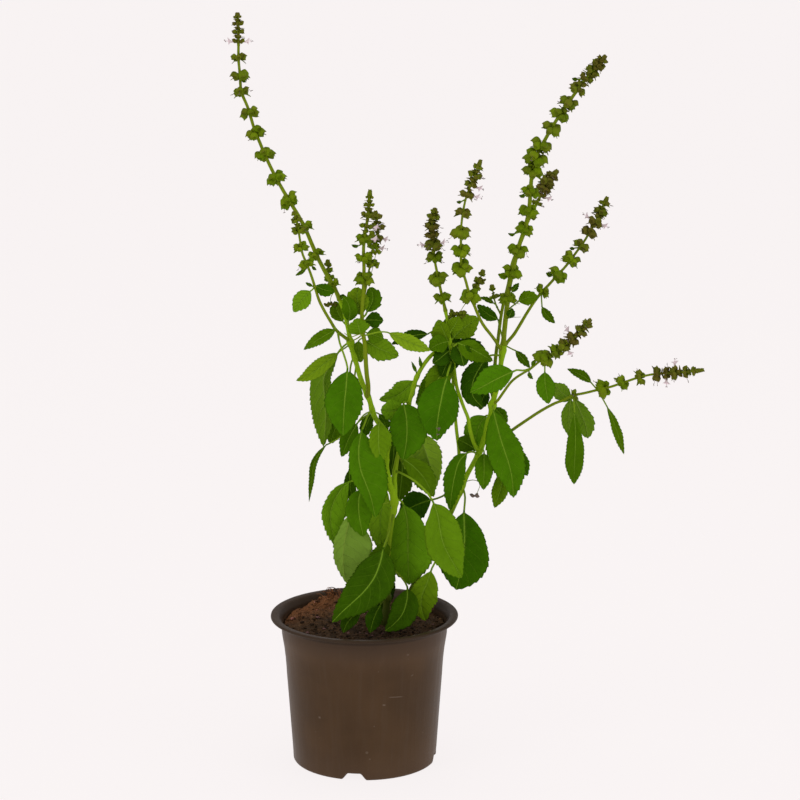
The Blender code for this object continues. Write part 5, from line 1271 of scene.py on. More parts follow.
def pot_angles():
    out = []
    for k in range(ARCHES):
        mid = ARCH_FIRST + 2 * math.pi / ARCHES * k
        nxt = mid + 2 * math.pi / ARCHES
        for x in (-1.12, -1.02, -0.96, -0.9, -0.84, -0.78, -0.72, -0.66, -0.6, -0.52, -0.44, -0.2, 0, 0.2, 0.44,
                  0.52, 0.6, 0.66, 0.72, 0.78, 0.84, 0.9, 0.96, 1.02, 1.12):
            out.append(mid + x * ARCH_HALF)
        a, b = mid + 1.12 * ARCH_HALF, nxt - 1.12 * ARCH_HALF
        out += [a + (b - a) * i / 44.0 for i in range(1, 44)]
    return out


def arc(cx, cz, r, a0, a1, n):
    return [(cx + r * math.cos(math.radians(a0 + (a1 - a0) * i / n)),
             cz + r * math.sin(math.radians(a0 + (a1 - a0) * i / n))) for i in range(n + 1)]


def wall_radius(z):
    """Outside of the wall in mm: straight, then flaring softly into the stacking step."""
    pts = [(4.0, 53.85), (13.0, 54.4), (30.0, 55.6), (50.0, 57.0), (72.0, 58.6), (80.0, 59.2), (88.0, 60.1),
           (93.0, 60.9), (98.0, 61.75), (103.0, 61.97), (107.4, 62.0)]
    for (z0, r0), (z1, r1) in zip(pts, pts[1:]):
        if z <= z1:
            return r0 + (r1 - r0) * (z - z0) / (z1 - z0)
    return pts[-1][1]


def pot_profile(theta):
    lift = arch_lift(theta)
    up = 5.0 * lift
    foot = 53.8
    pts = [(6.0, 0.0), (12.0, 0.0), (17.4, 0.0), (18.0, 0.15), (19.3, 2.7), (19.9, 3.0), (28.0, 3.0), (36.0, 3.0),
           (foot - 9.1, 3.0), (foot - 8.6, 2.8 + 0.2 * lift), (foot - 7.5, 0.2 + 0.96 * up), (foot - 7.0, up),
           (foot - 4.5, up), (foot - 2.0, up)]
    pts += [(x, z + up) for x, z in arc(foot - 2.0, 2.0, 2.0, -80, -8, 6)]
    pts += [(foot + 0.03, 3.2 + 0.85 * up), (foot + 0.12, 5.2 + 0.55 * up)]
    for z in (9.0, 13.0, 20.0, 30.0, 40.0, 50.0, 60.0, 68.0, 72.0, 76.0, 80.0, 84.0, 88.0, 91.0, 94.0, 96.5, 99.0,
              102.0, 105.0, 107.0):
        pts.append((wall_radius(z), z))
    pts += arc(64.8, 109.0, 1.7, 178, 100, 4)
    pts += [(66.5, 110.65), (69.0, 110.62)]
    pts += arc(69.3, 111.25, 0.65, -75, 0, 4)
    pts += [(70.0, 111.45)]
    pts += arc(68.9, 111.5, 1.1, 10, 90, 5)
    pts += [(67.4, 112.58), (65.6, 112.5), (64.6, 112.2), (63.7, 111.5), (62.9, 110.3), (62.0, 109.0), (61.3, 107.6)]
    for z in (105.0, 102.0, 99.0, 96.5, 94.0, 91.0, 88.0, 84.0, 80.0, 72.0, 50.0, 30.0, 13.0):
        pts.append((wall_radius(z) - 1.0, z))
    pts += [(foot - 1.0, 5.6 + 0.75 * up), (foot - 1.4, 2.2 + up), (foot - 2.6, 1.1 + up), (foot - 6.4 - 1.4 * lift, 1.1 + up),
            (foot - 8.1 - 1.6 * lift, 4.1), (36.0, 4.1), (28.0, 4.1), (18.9, 4.1), (17.2, 1.2), (6.0, 1.2)]
    return pts


def build_pot(material):
    angles = pot_angles()
    shape = Shape("pot_fine")
    cols = []
    for th in angles:
        c, s = math.cos(th), math.sin(th)
        # the rolled rim isn't perfectly true
        sway = 0.12 * math.sin(2 * th + 0.7) + 0.07 * math.sin(5 * th + 2.0)
        col = []
        for r, z in pot_profile(th):
            k = max((z - 70.0) / 42.6, 0.0) ** 2 * sway
            col.append(((r + k - 0.1 * (k > 0)) * c * MM, (r + k - 0.1 * (k > 0)) * s * MM, z * MM))
        cols.append(col)
    n, m = len(cols), len(cols[0])
    for col in cols:
        shape.points.extend(col)
        shape.info.extend([(0.0, 0.0, 0.0)] * m)
    for i in range(n):
        a, b = i * m, ((i + 1) % n) * m
        for k in range(m - 1):
            shape.faces.append((a + k, b + k, b + k + 1, a + k + 1))
            shape.slots.append(0)
    under, floor = len(shape.points), len(shape.points) + 1
    shape.points += [(0, 0, 0), (0, 0, 1.2 * MM)]
    shape.info += [(0.0, 0.0, 0.0)] * 2
    for i in range(n):
        a, b = i * m, ((i + 1) % n) * m
        shape.faces.append((b, a, under))
        shape.faces.append((a + m - 1, b + m - 1, floor))
        shape.slots += [0, 0]
    ob = shape.finish([material], 38)

    # drain holes through the raised ring of the floor
    for k in range(5):
        th = ARCH_FIRST + math.radians(36.0 + 72.0 * k)
        cutter = bmesh.new()
        bmesh.ops.create_cone(cutter, cap_ends=True, segments=32, radius1=4.0 * MM, radius2=4.0 * MM, depth=8 * MM)
        mesh = bpy.data.meshes.new("drain_cutter")
        cutter.to_mesh(mesh)
        cutter.free()
        tool = bpy.data.objects.new("drain_cutter", mesh)
        bpy.context.scene.collection.objects.link(tool)
        tool.location = (32 * MM * math.cos(th), 32 * MM * math.sin(th), 3.5 * MM)
        cut = ob.modifiers.new("drain", "BOOLEAN")
        cut.operation = "DIFFERENCE"
        cut.solver = "EXACT"
        cut.object = tool
        bpy.context.view_layer.update()
        done = bpy.data.meshes.new_from_object(ob.evaluated_get(bpy.context.evaluated_depsgraph_get()))
        ob.modifiers.clear()
        old = ob.data
        ob.data = done
        bpy.data.meshes.remove(old)
        bpy.data.objects.remove(tool, do_unlink=True)
        bpy.data.meshes.remove(mesh)
    ob.data.name = "pot_fine"
    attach(ob, "root")
    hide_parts("pot")
    return ob


# ---------------------------------------------------------------- soil
def soil_height(x, y):
    mound = 9.0 * math.exp(-((x + 0.020) ** 2 + (y - 0.046) ** 2) / (2 * 0.017 ** 2))
    mound += 2.5 * math.exp(-((x + 0.050) ** 2 + (y - 0.014) ** 2) / (2 * 0.014 ** 2))
    roll = 0.7 * math.sin(x * 150 + 0.6) * math.cos(y * 130 - 0.4) + 0.4 * math.sin(x * 310 + y * 240)
    return (103.5 + mound + roll) * MM


def hills(rng, count, reach):
    """Random clods: centre, radius and height."""
    out = []
    for _ in range(count):
        a, r = rng.uniform(0, 2 * math.pi), reach * math.sqrt(rng.random())
        size = rng.uniform(1.6, 4.2) * MM
        out.append((r * math.cos(a), r * math.sin(a), size, size * rng.uniform(0.22, 0.5)))
    return np.array(out)


def soil_surface(x, y, clods):
    """Lumpy height at arrays x, y."""
    mound = 9.0 * np.exp(-((x + 0.020) ** 2 + (y - 0.046) ** 2) / (2 * 0.017 ** 2))
    mound = mound + 2.5 * np.exp(-((x + 0.050) ** 2 + (y - 0.014) ** 2) / (2 * 0.014 ** 2))
    roll = 0.7 * np.sin(x * 150 + 0.6) * np.cos(y * 130 - 0.4) + 0.4 * np.sin(x * 310 + y * 240)
    z = (103.5 + mound + roll) * MM
    lump = np.zeros_like(x)
    for cx, cy, size, high in clods:
        d2 = ((x - cx) ** 2 + (y - cy) ** 2) / size ** 2
        lump = np.maximum(lump, high * np.clip(1.0 - d2, 0, 1) ** 0.6)
    fine = 0.22 * MM * np.sin(x * 2100 + 3 * np.sin(y * 900)) * np.cos(y * 1900 + 2 * np.sin(x * 1100))
    fine += 0.12 * MM * np.sin(x * 4700 + y * 3900)
    return z + lump + fine - 0.5 * MM


def pebble(rng, where, size, flat):
    """Irregular chip: a bent, squashed twelve-sided lump."""
    base = [(0, 0, 1), (0.894, 0, 0.447), (0.276, 0.851, 0.447), (-0.724, 0.526, 0.447), (-0.724, -0.526, 0.447),
            (0.276, -0.851, 0.447), (0.724, 0.526, -0.447), (-0.276, 0.851, -0.447), (-0.894, 0, -0.447),
            (-0.276, -0.851, -0.447), (0.724, -0.526, -0.447), (0, 0, -1)]
    faces = [(0, 1, 2), (0, 2, 3), (0, 3, 4), (0, 4, 5), (0, 5, 1), (1, 6, 2), (2, 7, 3), (3, 8, 4), (4, 9, 5),
             (5, 10, 1), (6, 7, 2), (7, 8, 3), (8, 9, 4), (9, 10, 5), (10, 6, 1), (11, 7, 6), (11, 8, 7), (11, 9, 8),
             (11, 10, 9), (11, 6, 10)]
    turn = Matrix.Rotation(rng.uniform(0, 6.28), 3, "Z") @ Matrix.Rotation(rng.uniform(-0.6, 0.6), 3, "X")
    sx, sy, sz = size * rng.uniform(0.7, 1.3), size * rng.uniform(0.45, 0.9), size * flat
    pts = []
    for p in base:
        k = rng.uniform(0.78, 1.2)
        pts.append(tuple(Vector(where) + turn @ Vector((p[0] * sx * k, p[1] * sy * k, p[2] * sz * k))))
    return pts, faces


def build_soil(mat_soil, mat_dark, mat_fibre, mat_pale):
    rng = random.Random(41)
    reach = 60.3 * MM
    clods = hills(rng, 620, 59.0 * MM)
    shape = Shape("soil_fine")
    n, rings = 200, 74
    # surface rings from the wall inwards, then the sides and underside
    below = [(17.0, 1.7), (18.6, 4.6), (44.0, 4.6), (46.0, 7.0), (50.5, 7.0), (52.2, 13.0), (56.6, 72.0), (58.3, 88.0),
             (60.2, 97.5)]
    ang = np.arange(n) * 2 * math.pi / n
    ca, sa = np.cos(ang), np.sin(ang)
    for r, z in below:
        for k in range(n):
            shape.points.append((r * MM * ca[k], r * MM * sa[k], z * MM))
            shape.info.append((0, 0, 0))
    for j in range(rings):
        r = reach * (1.0 - j / rings)
        x, y = r * ca, r * sa
        z = soil_surface(x, y, clods)
        if j == 0:
            z = z - 0.6 * MM
        for k in range(n):
            shape.points.append((x[k], y[k], z[k]))
            shape.info.append((0, 0, 0))
    total = len(below) + rings
    for j in range(total - 1):
        for k in range(n):
            q = (k + 1) % n
            shape.faces.append((j * n + k, j * n + q, (j + 1) * n + q, (j + 1) * n + k))
            shape.slots.append(0)
    shape.points += [(0, 0, 1.7 * MM), (0, 0, float(soil_surface(np.array([0.0]), np.array([0.0]), clods)[0]))]
    shape.info += [(0, 0, 0)] * 2
    a, b = len(shape.points) - 2, len(shape.points) - 1
    last = (total - 1) * n
    for k in range(n):
        q = (k + 1) % n
        shape.faces.append((q, k, a))
        shape.faces.append((last + k, last + q, b))
        shape.slots += [0, 0]
    soil = shape.finish([mat_soil])

    chips = Shape("soil_chips")
    for i in range(900):
        a, r = rng.uniform(0, 2 * math.pi), 58.6 * MM * math.sqrt(rng.random())
        x, y = r * math.cos(a), r * math.sin(a)
        size = rng.choice((0.5, 0.7, 0.9, 1.2, 1.7)) * MM * rng.uniform(0.8, 1.2)
        z = float(soil_surface(np.array([x]), np.array([y]), clods)[0]) + size * 0.25
        pts, faces = pebble(rng, (x, y, z), size, rng.uniform(0.35, 0.8))
        kind = rng.random()
        slot = 0 if kind < 0.62 else 1 if kind < 0.93 else 2
        chips.copy_in(pts, faces, [(0, 0, 0)] * len(pts), slot)
    chips = chips.finish([mat_soil, mat_dark, mat_pale])

    fibres = Shape("soil_fibres")
    for i in range(330):
        a, r = rng.uniform(0, 2 * math.pi), 57.5 * MM * math.sqrt(rng.random())
        x, y = r * math.cos(a), r * math.sin(a)
        head = rng.uniform(0, 2 * math.pi)
        length = rng.uniform(2.5, 9.0) * MM
        bend = rng.uniform(-1.4, 1.4)
        pts = []
        for k in range(6):
            f = k / 5.0
            h = head + bend * f
            px, py = x + length * f * math.cos(h), y + length * f * math.sin(h)
            if math.hypot(px, py) > 58.8 * MM:
                break
            z = float(soil_surface(np.array([px]), np.array([py]), clods)[0])
            pts.append((px, py, z + (0.25 + 0.9 * math.sin(math.pi * f) * rng.uniform(0.2, 1.0)) * MM))
        if len(pts) > 3:
            thread(fibres, pts, rng.uniform(0.09, 0.20) * MM, 0 if rng.random() < 0.7 else 1)
    # rootlets and husk threads that stand up from the heap at the back left and by the wall at the right
    for path, rad, slot in (
            (((-0.024, 0.046, 0.1125), (-0.022, 0.047, 0.117), (-0.026, 0.045, 0.1195), (-0.030, 0.044, 0.1165)), 0.42, 1),
            (((-0.016, 0.047, 0.1120), (-0.014, 0.048, 0.1150), (-0.010, 0.047, 0.1172), (-0.007, 0.046, 0.1150)), 0.34, 0),
            (((-0.030, 0.042, 0.1110), (-0.034, 0.043, 0.1145), (-0.037, 0.042, 0.1150)), 0.28, 0),
            (((-0.012, 0.050, 0.1100), (-0.016, 0.051, 0.1150), (-0.021, 0.050, 0.1172), (-0.027, 0.049, 0.1150)), 0.30, 1),
            (((0.050, 0.026, 0.1050), (0.0535, 0.028, 0.1110), (0.056, 0.028, 0.1150), (0.060, 0.026, 0.1140), (0.0625, 0.026, 0.1125)), 0.22, 0),
            (((0.046, 0.030, 0.1048), (0.048, 0.033, 0.1090), (0.052, 0.034, 0.1105)), 0.13, 0)):
        thread(fibres, world_smooth(path, 12), rad * MM, slot)
    # a tangle of coir on top of the heap
    for k in range(30):
        a = rng.uniform(0, 2 * math.pi)
        cx, cy = -0.0225 + 0.0065 * rng.uniform(-1, 1), 0.046 + 0.003 * rng.uniform(-1, 1)
        reach, high = rng.uniform(2.5, 6.5) * MM, rng.uniform(2.0, 6.5) * MM
        thread(fibres, world_smooth([(cx + f * reach * math.cos(a), cy + 0.6 * f * reach * math.sin(a), 0.1122 + g * high)
                                     for f, g in ((0.0, 0.0), (0.35, 0.7), (0.8, 1.0), (1.15, 0.6 + 0.3 * rng.random()))], 10),
               rng.uniform(0.18, 0.40) * MM, 0 if rng.random() < 0.6 else 1)
    fibres = fibres.finish([mat_fibre, mat_dark])
    for ob in (soil, chips, fibres):
        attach(ob, "root")
    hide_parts("potting_soil")
    return soil


def world_smooth(points, n):
    return np.array(smooth([tuple(p) for p in points], n))


# ---------------------------------------------------------------- stems
def build_stem(name, r0, r1, points, material, parent=None):
    rng = random.Random(len(name) * 17)
    line = world(points, 220)
    dist = steps_along(line)
    total = dist[-1]
    count = round(total / (1.8 * MM))
    s_at = np.linspace(0.0, total, count)
    pts = np.array([at_step(line, dist, s) for s in s_at])
    rad = (r0 + (r1 - r0) * s_at / total) * MM
    rad = rad * (1 + 0.035 * np.sin(s_at / (7 * MM)) + 0.02 * np.sin(s_at / (2.3 * MM) + 1.0))
    for joint in JOINTS.get(name, ()):
        s_j = dist[np.argmin(np.linalg.norm(line - joint, axis=1))]
        rad = rad * (1 + 0.30 * np.exp(-((s_at - s_j) / (2.4 * MM)) ** 2))
    if parent:
        rad = rad * (1 + 0.30 * np.exp(-(s_at / (3.0 * MM)) ** 2))
    else:
        # the foot widens where it enters the soil
        rad = rad * (1 + 0.30 * np.exp(-(s_at / (6.0 * MM)) ** 2))
        down = pts[0] + (pts[0] - pts[2]) * 2.2
        pts = np.vstack([down, pts])
        rad = np.concatenate([[rad[0]], rad])
    shape = Shape(name + "_fine")
    tan = tangents(pts)
    side, front = frames(pts, tan)
    ang = np.arange(16) * 2 * math.pi / 16
    rings, info = [], []
    for i in range(len(pts)):
        twist = 0.25 + i * 0.012
        r = rad[i] * (1 + 0.055 * np.cos(4 * (ang + twist)))
        rings.append(pts[i] + side[i] * (np.cos(ang) * r)[:, None] + front[i] * (np.sin(ang) * r)[:, None])
        start = 0.28 if name == "stem_right" else 0.10
        young = min(max((i / len(pts) - start) / 0.28, 0.0), 1.0) if parent is None else 0.9
        info.append(np.tile((0.5, i / len(pts), young), (16, 1)))
    shape.skin(rings, info, 0)
    ob = shape.finish([material])
    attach(ob, "root")
    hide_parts(name)
    return ob


JOINTS = {}


def note_joints():
    """Where branches and petioles leave each stem, for the swellings there."""
    for name, (parent, r, points, whorls) in SPIKES.items():
        JOINTS.setdefault(parent, []).append(np.array(at(*points[0])))
    for name, leaf_row in LEAVES.items():
        JOINTS.setdefault(leaf_row[0], []).append(np.array(at(*leaf_row[1][0])))


# ---------------------------------------------------------------- the whole plant
# How light each leaf is (0 dark, 1 light, up to 1.5) and how yellow (0 green, 1 yellow). The lightness is
# partly the leaf's own green and partly painted light and shade: low for leaves in shadow, above 1 to lift leaves
# inside the plant
LEAF_TONE_PAINTED_SHADE_AND_HUE = {
    "leaf_left_front": (0.66, 0.04), "leaf_left_pale": (0.60, 0.70), "leaf_left_outer": (1.00, 0.90),
    "leaf_left_upper": (0.58, 0.45), "leaf_left_low_front": (0.68, 0.10), "leaf_left_low_outer": (1.20, 0.35),
    "leaf_left_low_pale": (0.95, 0.1), "leaf_left_low_inner": (0.65, 0.15), "leaf_left_low_small": (1.50, 0.60),
    "leaf_base_left_front": (0.10, 0.20), "leaf_base_left_shade": (0.05, 0.1), "leaf_base_centre": (0.15, 0.2),
    "leaf_base_right": (0.92, 0.70), "leaf_centre_low": (1.15, 0.25), "leaf_centre_low_pale": (0.88, 0.50),
    "leaf_centre_shade": (0.20, 0.0), "leaf_centre_pale": (1.50, 0.70), "leaf_centre_front": (0.65, 0.05),
    "leaf_centre_small": (1.25, 0.50), "leaf_middle_front": (0.52, 0.00), "leaf_right_of_middle": (0.45, 0.10),
    "leaf_right_small": (0.60, 0.2), "leaf_right_front": (0.68, 0.08), "leaf_right_outer": (0.60, 0.05),
    "leaf_right_shade": (0.15, 0.0), "leaf_right_behind": (1.22, 0.2), "leaf_right_low_large": (0.40, 0.0),
    "leaf_right_upper": (0.78, 0.05), "leaf_far_right_upper": (0.70, 0.15), "leaf_far_right_front": (0.52, 0.30),
    "leaf_middle_top": (0.90, 0.75), "leaf_middle_right": (0.52, 0.45), "leaf_inner_pale": (1.25, 0.88),
    "leaf_inner_right": (1.10, 0.60), "leaf_inner_dark": (0.08, 0.0), "leaf_back_left_low": (0.45, 0.2),
    "leaf_back_right": (0.50, 0.2), "leaf_back_right_low": (0.50, 0.3), "leaf_back_middle": (0.50, 0.2),
    "leaf_back_left": (0.50, 0.3),
}

# Smallest leaves at the branching points: group, tone or (tone, hue), petiole points,
# midrib points, width (mm), where widest, lean, turn, fold, face. Tone holds painted light and shade as well as the
# leaf's own lightness.
LEAFLETS = [
    ("left", 0.40, [(372.8, 412, -6), (364, 417, -3), (352, 428, 1), (336, 440, 5)], [(326, 445, 6), (318, 455, 7), (313.5, 465, 7), (311.5, 480, 7), (309, 502, 6)], 5.0, 0.4, 0.0, 0, 20, 1),
    ("left", (0.50, 0.2), [(372.5, 411, -6), (365, 414, -4), (359.5, 420, -3)], [(357, 424, -2), (349, 438, -3), (341.5, 457, -4)], 13, 0.42, 0.0, 0, 12, 1),
    ("left", (1.15, 0.45), [(314, 288, -20), (312, 290, -20)], [(310.5, 291, -20.5), (302, 300, -22), (293.5, 312.2, -23)], 13, 0.45, 0.0, 0, 12, 1),
    ("left", (0.35, 0.1), [(313, 285, -20), (314, 285.5, -20)], [(315, 286, -20), (325, 290, -16), (335, 291.5, -13)], 9.5, 0.5, 0.0, 0, 12, 1),
    ("left", (0.20, 0.3), [(313.8, 286, -20), (313, 286.5, -21)], [(312.5, 286.3, -21.5), (309, 284.5, -22), (305.5, 282.5, -22)], 2.6, 0.4, 0.0, 0, 12, 1),
    ("left", (0.55, 0.60), [(347.8, 326, 5.5), (345, 324, 9)], [(343, 321.5, 12), (338, 313, 13), (334.5, 301, 13)], 11.5, 0.5, 0.0, 0, 12, 1),
    ("left", (0.50, 0.30), [(347.6, 325, 5.7), (348, 323, -3)], [(348.5, 321, -8), (350, 311, -13), (347.5, 302, -14), (342.5, 296.5, -13)], 11.8, 0.45, 0.0, 0, 12, 1),
    ("left", 0.12, [(341, 301, 10), (341, 300, 10)], [(340, 298, 9), (343, 296.5, 7), (347, 301, 6)], 3.6, 0.42, 0.0, 0, 25, 1),
    ("centre", (0.90, 0.90), [(362.3, 318, -13), (361.2, 315, -12.5)], [(361, 315, -11), (358.2, 305, -9.5), (357, 296, -9), (358.5, 287, -8)], 18.0, 0.5, 0.0, 0, 12, 1),
    ("centre", (0.62, 0.30), [(362.3, 318, -13), (365.5, 315, -10)], [(367, 312, -8), (371.8, 303, -6), (373, 295, -5), (369.5, 287, -4)], 15.0, 0.5, 0.1, 0, 12, 1),
    ("centre", (0.15, 0.0), [(362.3, 321, -12.8), (364, 320.5, -10)], [(365, 320, -9), (374, 320, -8), (383.5, 320.5, -8)], 11.8, 0.5, 0.0, 0, 12, 1),
    ("centre", (0.85, 0.45), [(362.5, 334, -12.6), (361.5, 334.5, -15)], [(360.5, 334, -15.5), (358.5, 327, -17.5), (357, 318, -18.5)], 16.0, 0.42, 0.0, 0, 12, 1),
    ("centre", (0.90, 0.70), [(363.5, 338, -12.8), (360.5, 339, -4)], [(358.5, 341, 4), (358.5, 351, 6), (361, 362.5, 7)], 12.0, 0.45, 0.0, 0, 12, 1),
    ("centre", (0.80, 0.45), [(362.7, 331, -12.5), (365, 332, -10)], [(367, 333, -9), (375, 335.5, -8), (383.5, 338.5, -7)], 12.5, 0.45, 0.0, 0, 12, 1),
    ("centre", (0.40, 0.2), [(417, 377, -6.5), (416.6, 374, -8.3)], [(416.3, 372, -9), (414, 367, -10), (411.5, 361.5, -11)], 2.6, 0.35, 0.0, 0, 15, 1),
    ("centre", (0.40, 0.2), [(420, 371, -8.6), (420.6, 369, -10)], [(421, 367.5, -10.5), (420.5, 363, -11), (419.3, 356.5, -11)], 2.6, 0.35, 0.0, 0, 15, 1),
    ("centre", (1.30, 0.40), [(408, 406, -1), (406, 407, -2)], [(404, 407, -3), (393, 411, -5), (380.5, 410, -6)], 16.5, 0.55, -0.15, 0, 12, 1),
    ("centre", (0.75, 0.55), [(398.4, 453, 2), (400.5, 456, 1)], [(403, 459, 0), (413, 466, 1), (424, 478, 3), (434, 497, 4)], 17.5, 0.45, 0.0, 0, 12, 1),
    ("centre", (0.30, 0.5), [(397.8, 456, 2), (400, 458, 8)], [(402, 462, 12), (402, 475, 14), (400.5, 488, 14.5), (399, 501, 14)], 17, 0.5, 0.0, 0, 10, 1),
    ("centre", 0.18, [(400.5, 445, 3), (397, 437, 7)], [(394.5, 436, 9), (394, 448, 13), (393, 460, 16), (390, 476, 18)], 15, 0.45, 0.0, 0, 12, 1),
    ("middle", 0.28, [(477.5, 450, 5), (476, 449.5, 7)], [(475, 449, 8), (467, 444, 9), (457.5, 439, 9)], 14, 0.55, 0.0, 0, 12, 1),
    ("middle", (0.65, 0.72), [(449.3, 341, -5), (448.8, 341.5, -6)], [(447.8, 341, -6.5), (443.5, 331, -8), (438, 319.5, -9)], 14.5, 0.5, 0.3, 0, 12, 1),
    ("middle", (0.65, 0.72), [(448.8, 335, -5), (450, 333, -7)], [(451, 331, -8), (455, 325, -9), (459, 316.5, -9)], 12, 0.5, 0.0, 0, 12, 1),
    ("middle", (0.60, 0.65), [(449.3, 339, -5), (449, 338, 2)], [(448.8, 337, 4), (448, 328, 5), (447.5, 317.5, 5)], 11, 0.55, 0.0, 0, 12, 1),
    ("middle", (0.25, 0.3), [(449.6, 341, -5), (450.3, 340.5, 3)], [(451, 340, 5), (454, 333, 6), (459, 324, 6)], 12, 0.45, 0.0, 0, 12, 1),
    ("middle", (0.50, 0.35), [(449.5, 341, -5), (449, 341.5, -8.5)], [(448, 341.5, -9.5), (440, 343.5, -13), (434, 346.5, -16), (429.5, 350.5, -18)], 14, 0.45, 0.0, 0, 12, 1),
    ("middle", (0.10, 0.0), [(451, 350, -5), (449.5, 351, -9)], [(448.5, 351.5, -10), (443, 356, -13), (438, 360, -15), (432.5, 363.5, -17)], 13.5, 0.45, 0.0, 0, 12, 1),
    ("middle", (0.12, 0.0), [(452.3, 356, -5), (450.5, 357, -7)], [(449.5, 357.5, -8), (446, 366, -10), (441, 377, -11)], 12.5, 0.42, 0.0, 0, 12, 1),
    ("middle", (0.80, 0.60), [(452.8, 358, -5), (451, 360, -4)], [(449.5, 362, -4.5), (443, 371.5, -8), (436, 382, -12), (427, 396, -15)], 18, 0.45, 0.0, 0, 12, 1),
    ("middle", (0.50, 0.35), [(452.5, 356, -5), (451, 357, -2)], [(449, 358, 0), (439, 369, 3), (428, 384, 5), (415.5, 404.5, 6)], 11, 0.45, 0.0, 0, 12, 1),
    ("middle", (0.10, 0.0), [(450.5, 345, -5), (453, 344, -7)], [(455, 344, -8), (460, 352, -13), (464, 366.5, -17)], 16, 0.5, 0.0, 0, 12, 1),
    ("middle", (0.08, 0.0), [(448.6, 332, -5), (449, 332, 4)], [(450, 334, 8), (451, 346, 12), (449, 360, 14), (446, 372, 14)], 24, 0.42, 0.0, 0, 10, 1),
    ("middle", (0.12, 0.0), [(450.5, 346, -5), (453, 345, 2)], [(456, 343, 4), (466, 346, 6), (476, 353, 7), (487, 363, 8)], 16, 0.45, 0.0, 0, 10, 1),
    ("base", (0.00, 0.2), [(387, 598, 1), (380, 600, -15), (368, 604, -30)], [(360, 610, -38), (348, 622, -45), (343, 633, -48)], 11, 0.5, 0.0, 0, 12, 1),
    ("base", (0.05, 0.2), [(386.6, 566, -0.3), (388, 570, 6)], [(389, 573, 9), (388, 585, 14), (386, 598, 18), (383, 612, 20)], 12, 0.4, 0.0, 0, 12, 1),
    ("base", (0.05, 0.1), [(387.5, 560, -0.5), (384, 562, 8)], [(382, 566, 12), (380, 580, 16), (380, 596, 19), (381, 612, 20)], 16, 0.5, 0.0, 0, 12, 1),
    ("base", 0.34, [(390, 530, -1.5), (388, 538, -8)], [(387, 543, -12), (384, 549, -15), (378, 553, -17), (369, 556, -18)], 11, 0.4, 0.0, 0, 12, 1),
    ("right", 0.62, [(485.3, 436, 5), (491, 441, 6), (499, 452, 5)], [(504, 468, 4), (502.8, 480, 3), (499.5, 493, 1.5), (494.5, 508, 0)], 13, 0.5, 0.0, 0, 14, 1),
    ("right", (0.60, 0.2), [(492.5, 404, 5), (493.2, 406, 7)], [(494, 407.5, 8), (500, 413, 8), (507.5, 422.5, 7)], 8.5, 0.45, 0.0, 0, 14, 1),
    ("right", (0.35, 0.1), [(503.3, 343, 8), (501, 332, 13)], [(498, 319.5, 14), (487, 313.5, 15), (477, 304.5, 15)], 9.5, 0.45, 0.0, 0, 12, 1),
    ("right", 0.38, [(497, 307, 22), (495.5, 304.5, 19)], [(494, 303.3, 17), (486, 299, 15), (479.3, 297.3, 14)], 3.8, 0.45, 0.0, 0, 14, 1),
    ("right", (0.60, 0.6), [(506.6, 311, 6), (512.5, 306, 6), (518, 302, 4.5)], [(518.5, 301, 4), (529, 297.5, 2), (539, 297.5, 1)], 10.8, 0.45, 0.0, 0, 12, 1),
    ("right", (0.12, 0.1), [(505.7, 319, 7), (508, 318, 5)], [(508.5, 317.5, 4), (511, 313, 2), (512, 308, 1)], 6.5, 0.45, 0.0, 0, 14, 1),
    ("right", (0.20, 0.2), [(508.6, 294, 4), (511, 293, 2)], [(512, 292, 1), (515, 288, 0), (519, 283, 0)], 4.5, 0.45, 0.0, 0, 14, 1),
    ("right", (0.30, 0.4), [(503.5, 345, 8), (505, 345.5, 10), (510, 348, 10), (514, 350, 10)], [(515.5, 350.5, 10), (522, 358, 10), (530, 368, 9)], 6.5, 0.45, 0.0, 0, 14, 1),
    ("right", 0.40, [(541.3, 293, 20), (541.5, 299, 18), (542, 306, 17)], [(542, 307, 17), (547, 315, 15), (555, 323.3, 14)], 6.6, 0.45, 0.0, 0, 14, 1),
    ("far", 0.36, [(597, 389.5, -3), (594, 386, -4)], [(591, 382.5, -5), (584.5, 377, -6), (577, 373, -7), (567, 368.8, -7)], 7.0, 0.4, 0.0, 12, 14, 1),
    ("far", 0.50, [(599, 390, -3), (601.5, 396.5, -5), (604.5, 402, -7)], [(607, 406.5, -8), (613, 420, -10), (618.5, 436, -11), (624, 454.5, -11)], 6.6, 0.55, 0.0, 0, 16, 1),
    ("far", 0.60, [(572, 396, 3), (571.5, 397.5, 4.2)], [(571, 399, 4.5), (569, 415, 4), (569.5, 437.5, 3)], 11.5, 0.5, 0.0, 0, 14, -1),
    ("far", 0.62, [(574, 396, 3), (574.5, 397.5, 4.2)], [(575, 399, 4.5), (580.5, 412, 4), (585.5, 425, 3.5), (588, 438.5, 3)], 15, 0.62, 0.0, 0, 14, -1),
    ("far", 0.62, [(572.5, 395.5, 3), (572.5, 397, 5.5)], [(572, 399, 6), (566, 396, 8), (560, 391, 10), (552, 383, 11)], 12.5, 0.5, 0.0, 0, 14, -1),
    ("right", 0.40, [(529, 369.5, -19), (529, 371, -20)], [(529, 372, -20), (530, 376, -22), (533, 379, -22)], 3.2, 0.45, 0.0, 0, 15, 1),
    ("right", 0.40, [(531, 368.5, -19), (531.5, 367, -20)], [(532, 366, -20), (534, 362, -22), (537, 360, -22)], 3.0, 0.45, 0.0, 0, 15, 1),
    ("left", (0.85, 0.60), [(374.5, 416.5, -6), (378, 421, -12)], [(379, 423, -21), (378.5, 436, -25), (379, 449, -26), (382, 463, -25)], 17.0, 0.40, 0.15, 0, 12, 1),
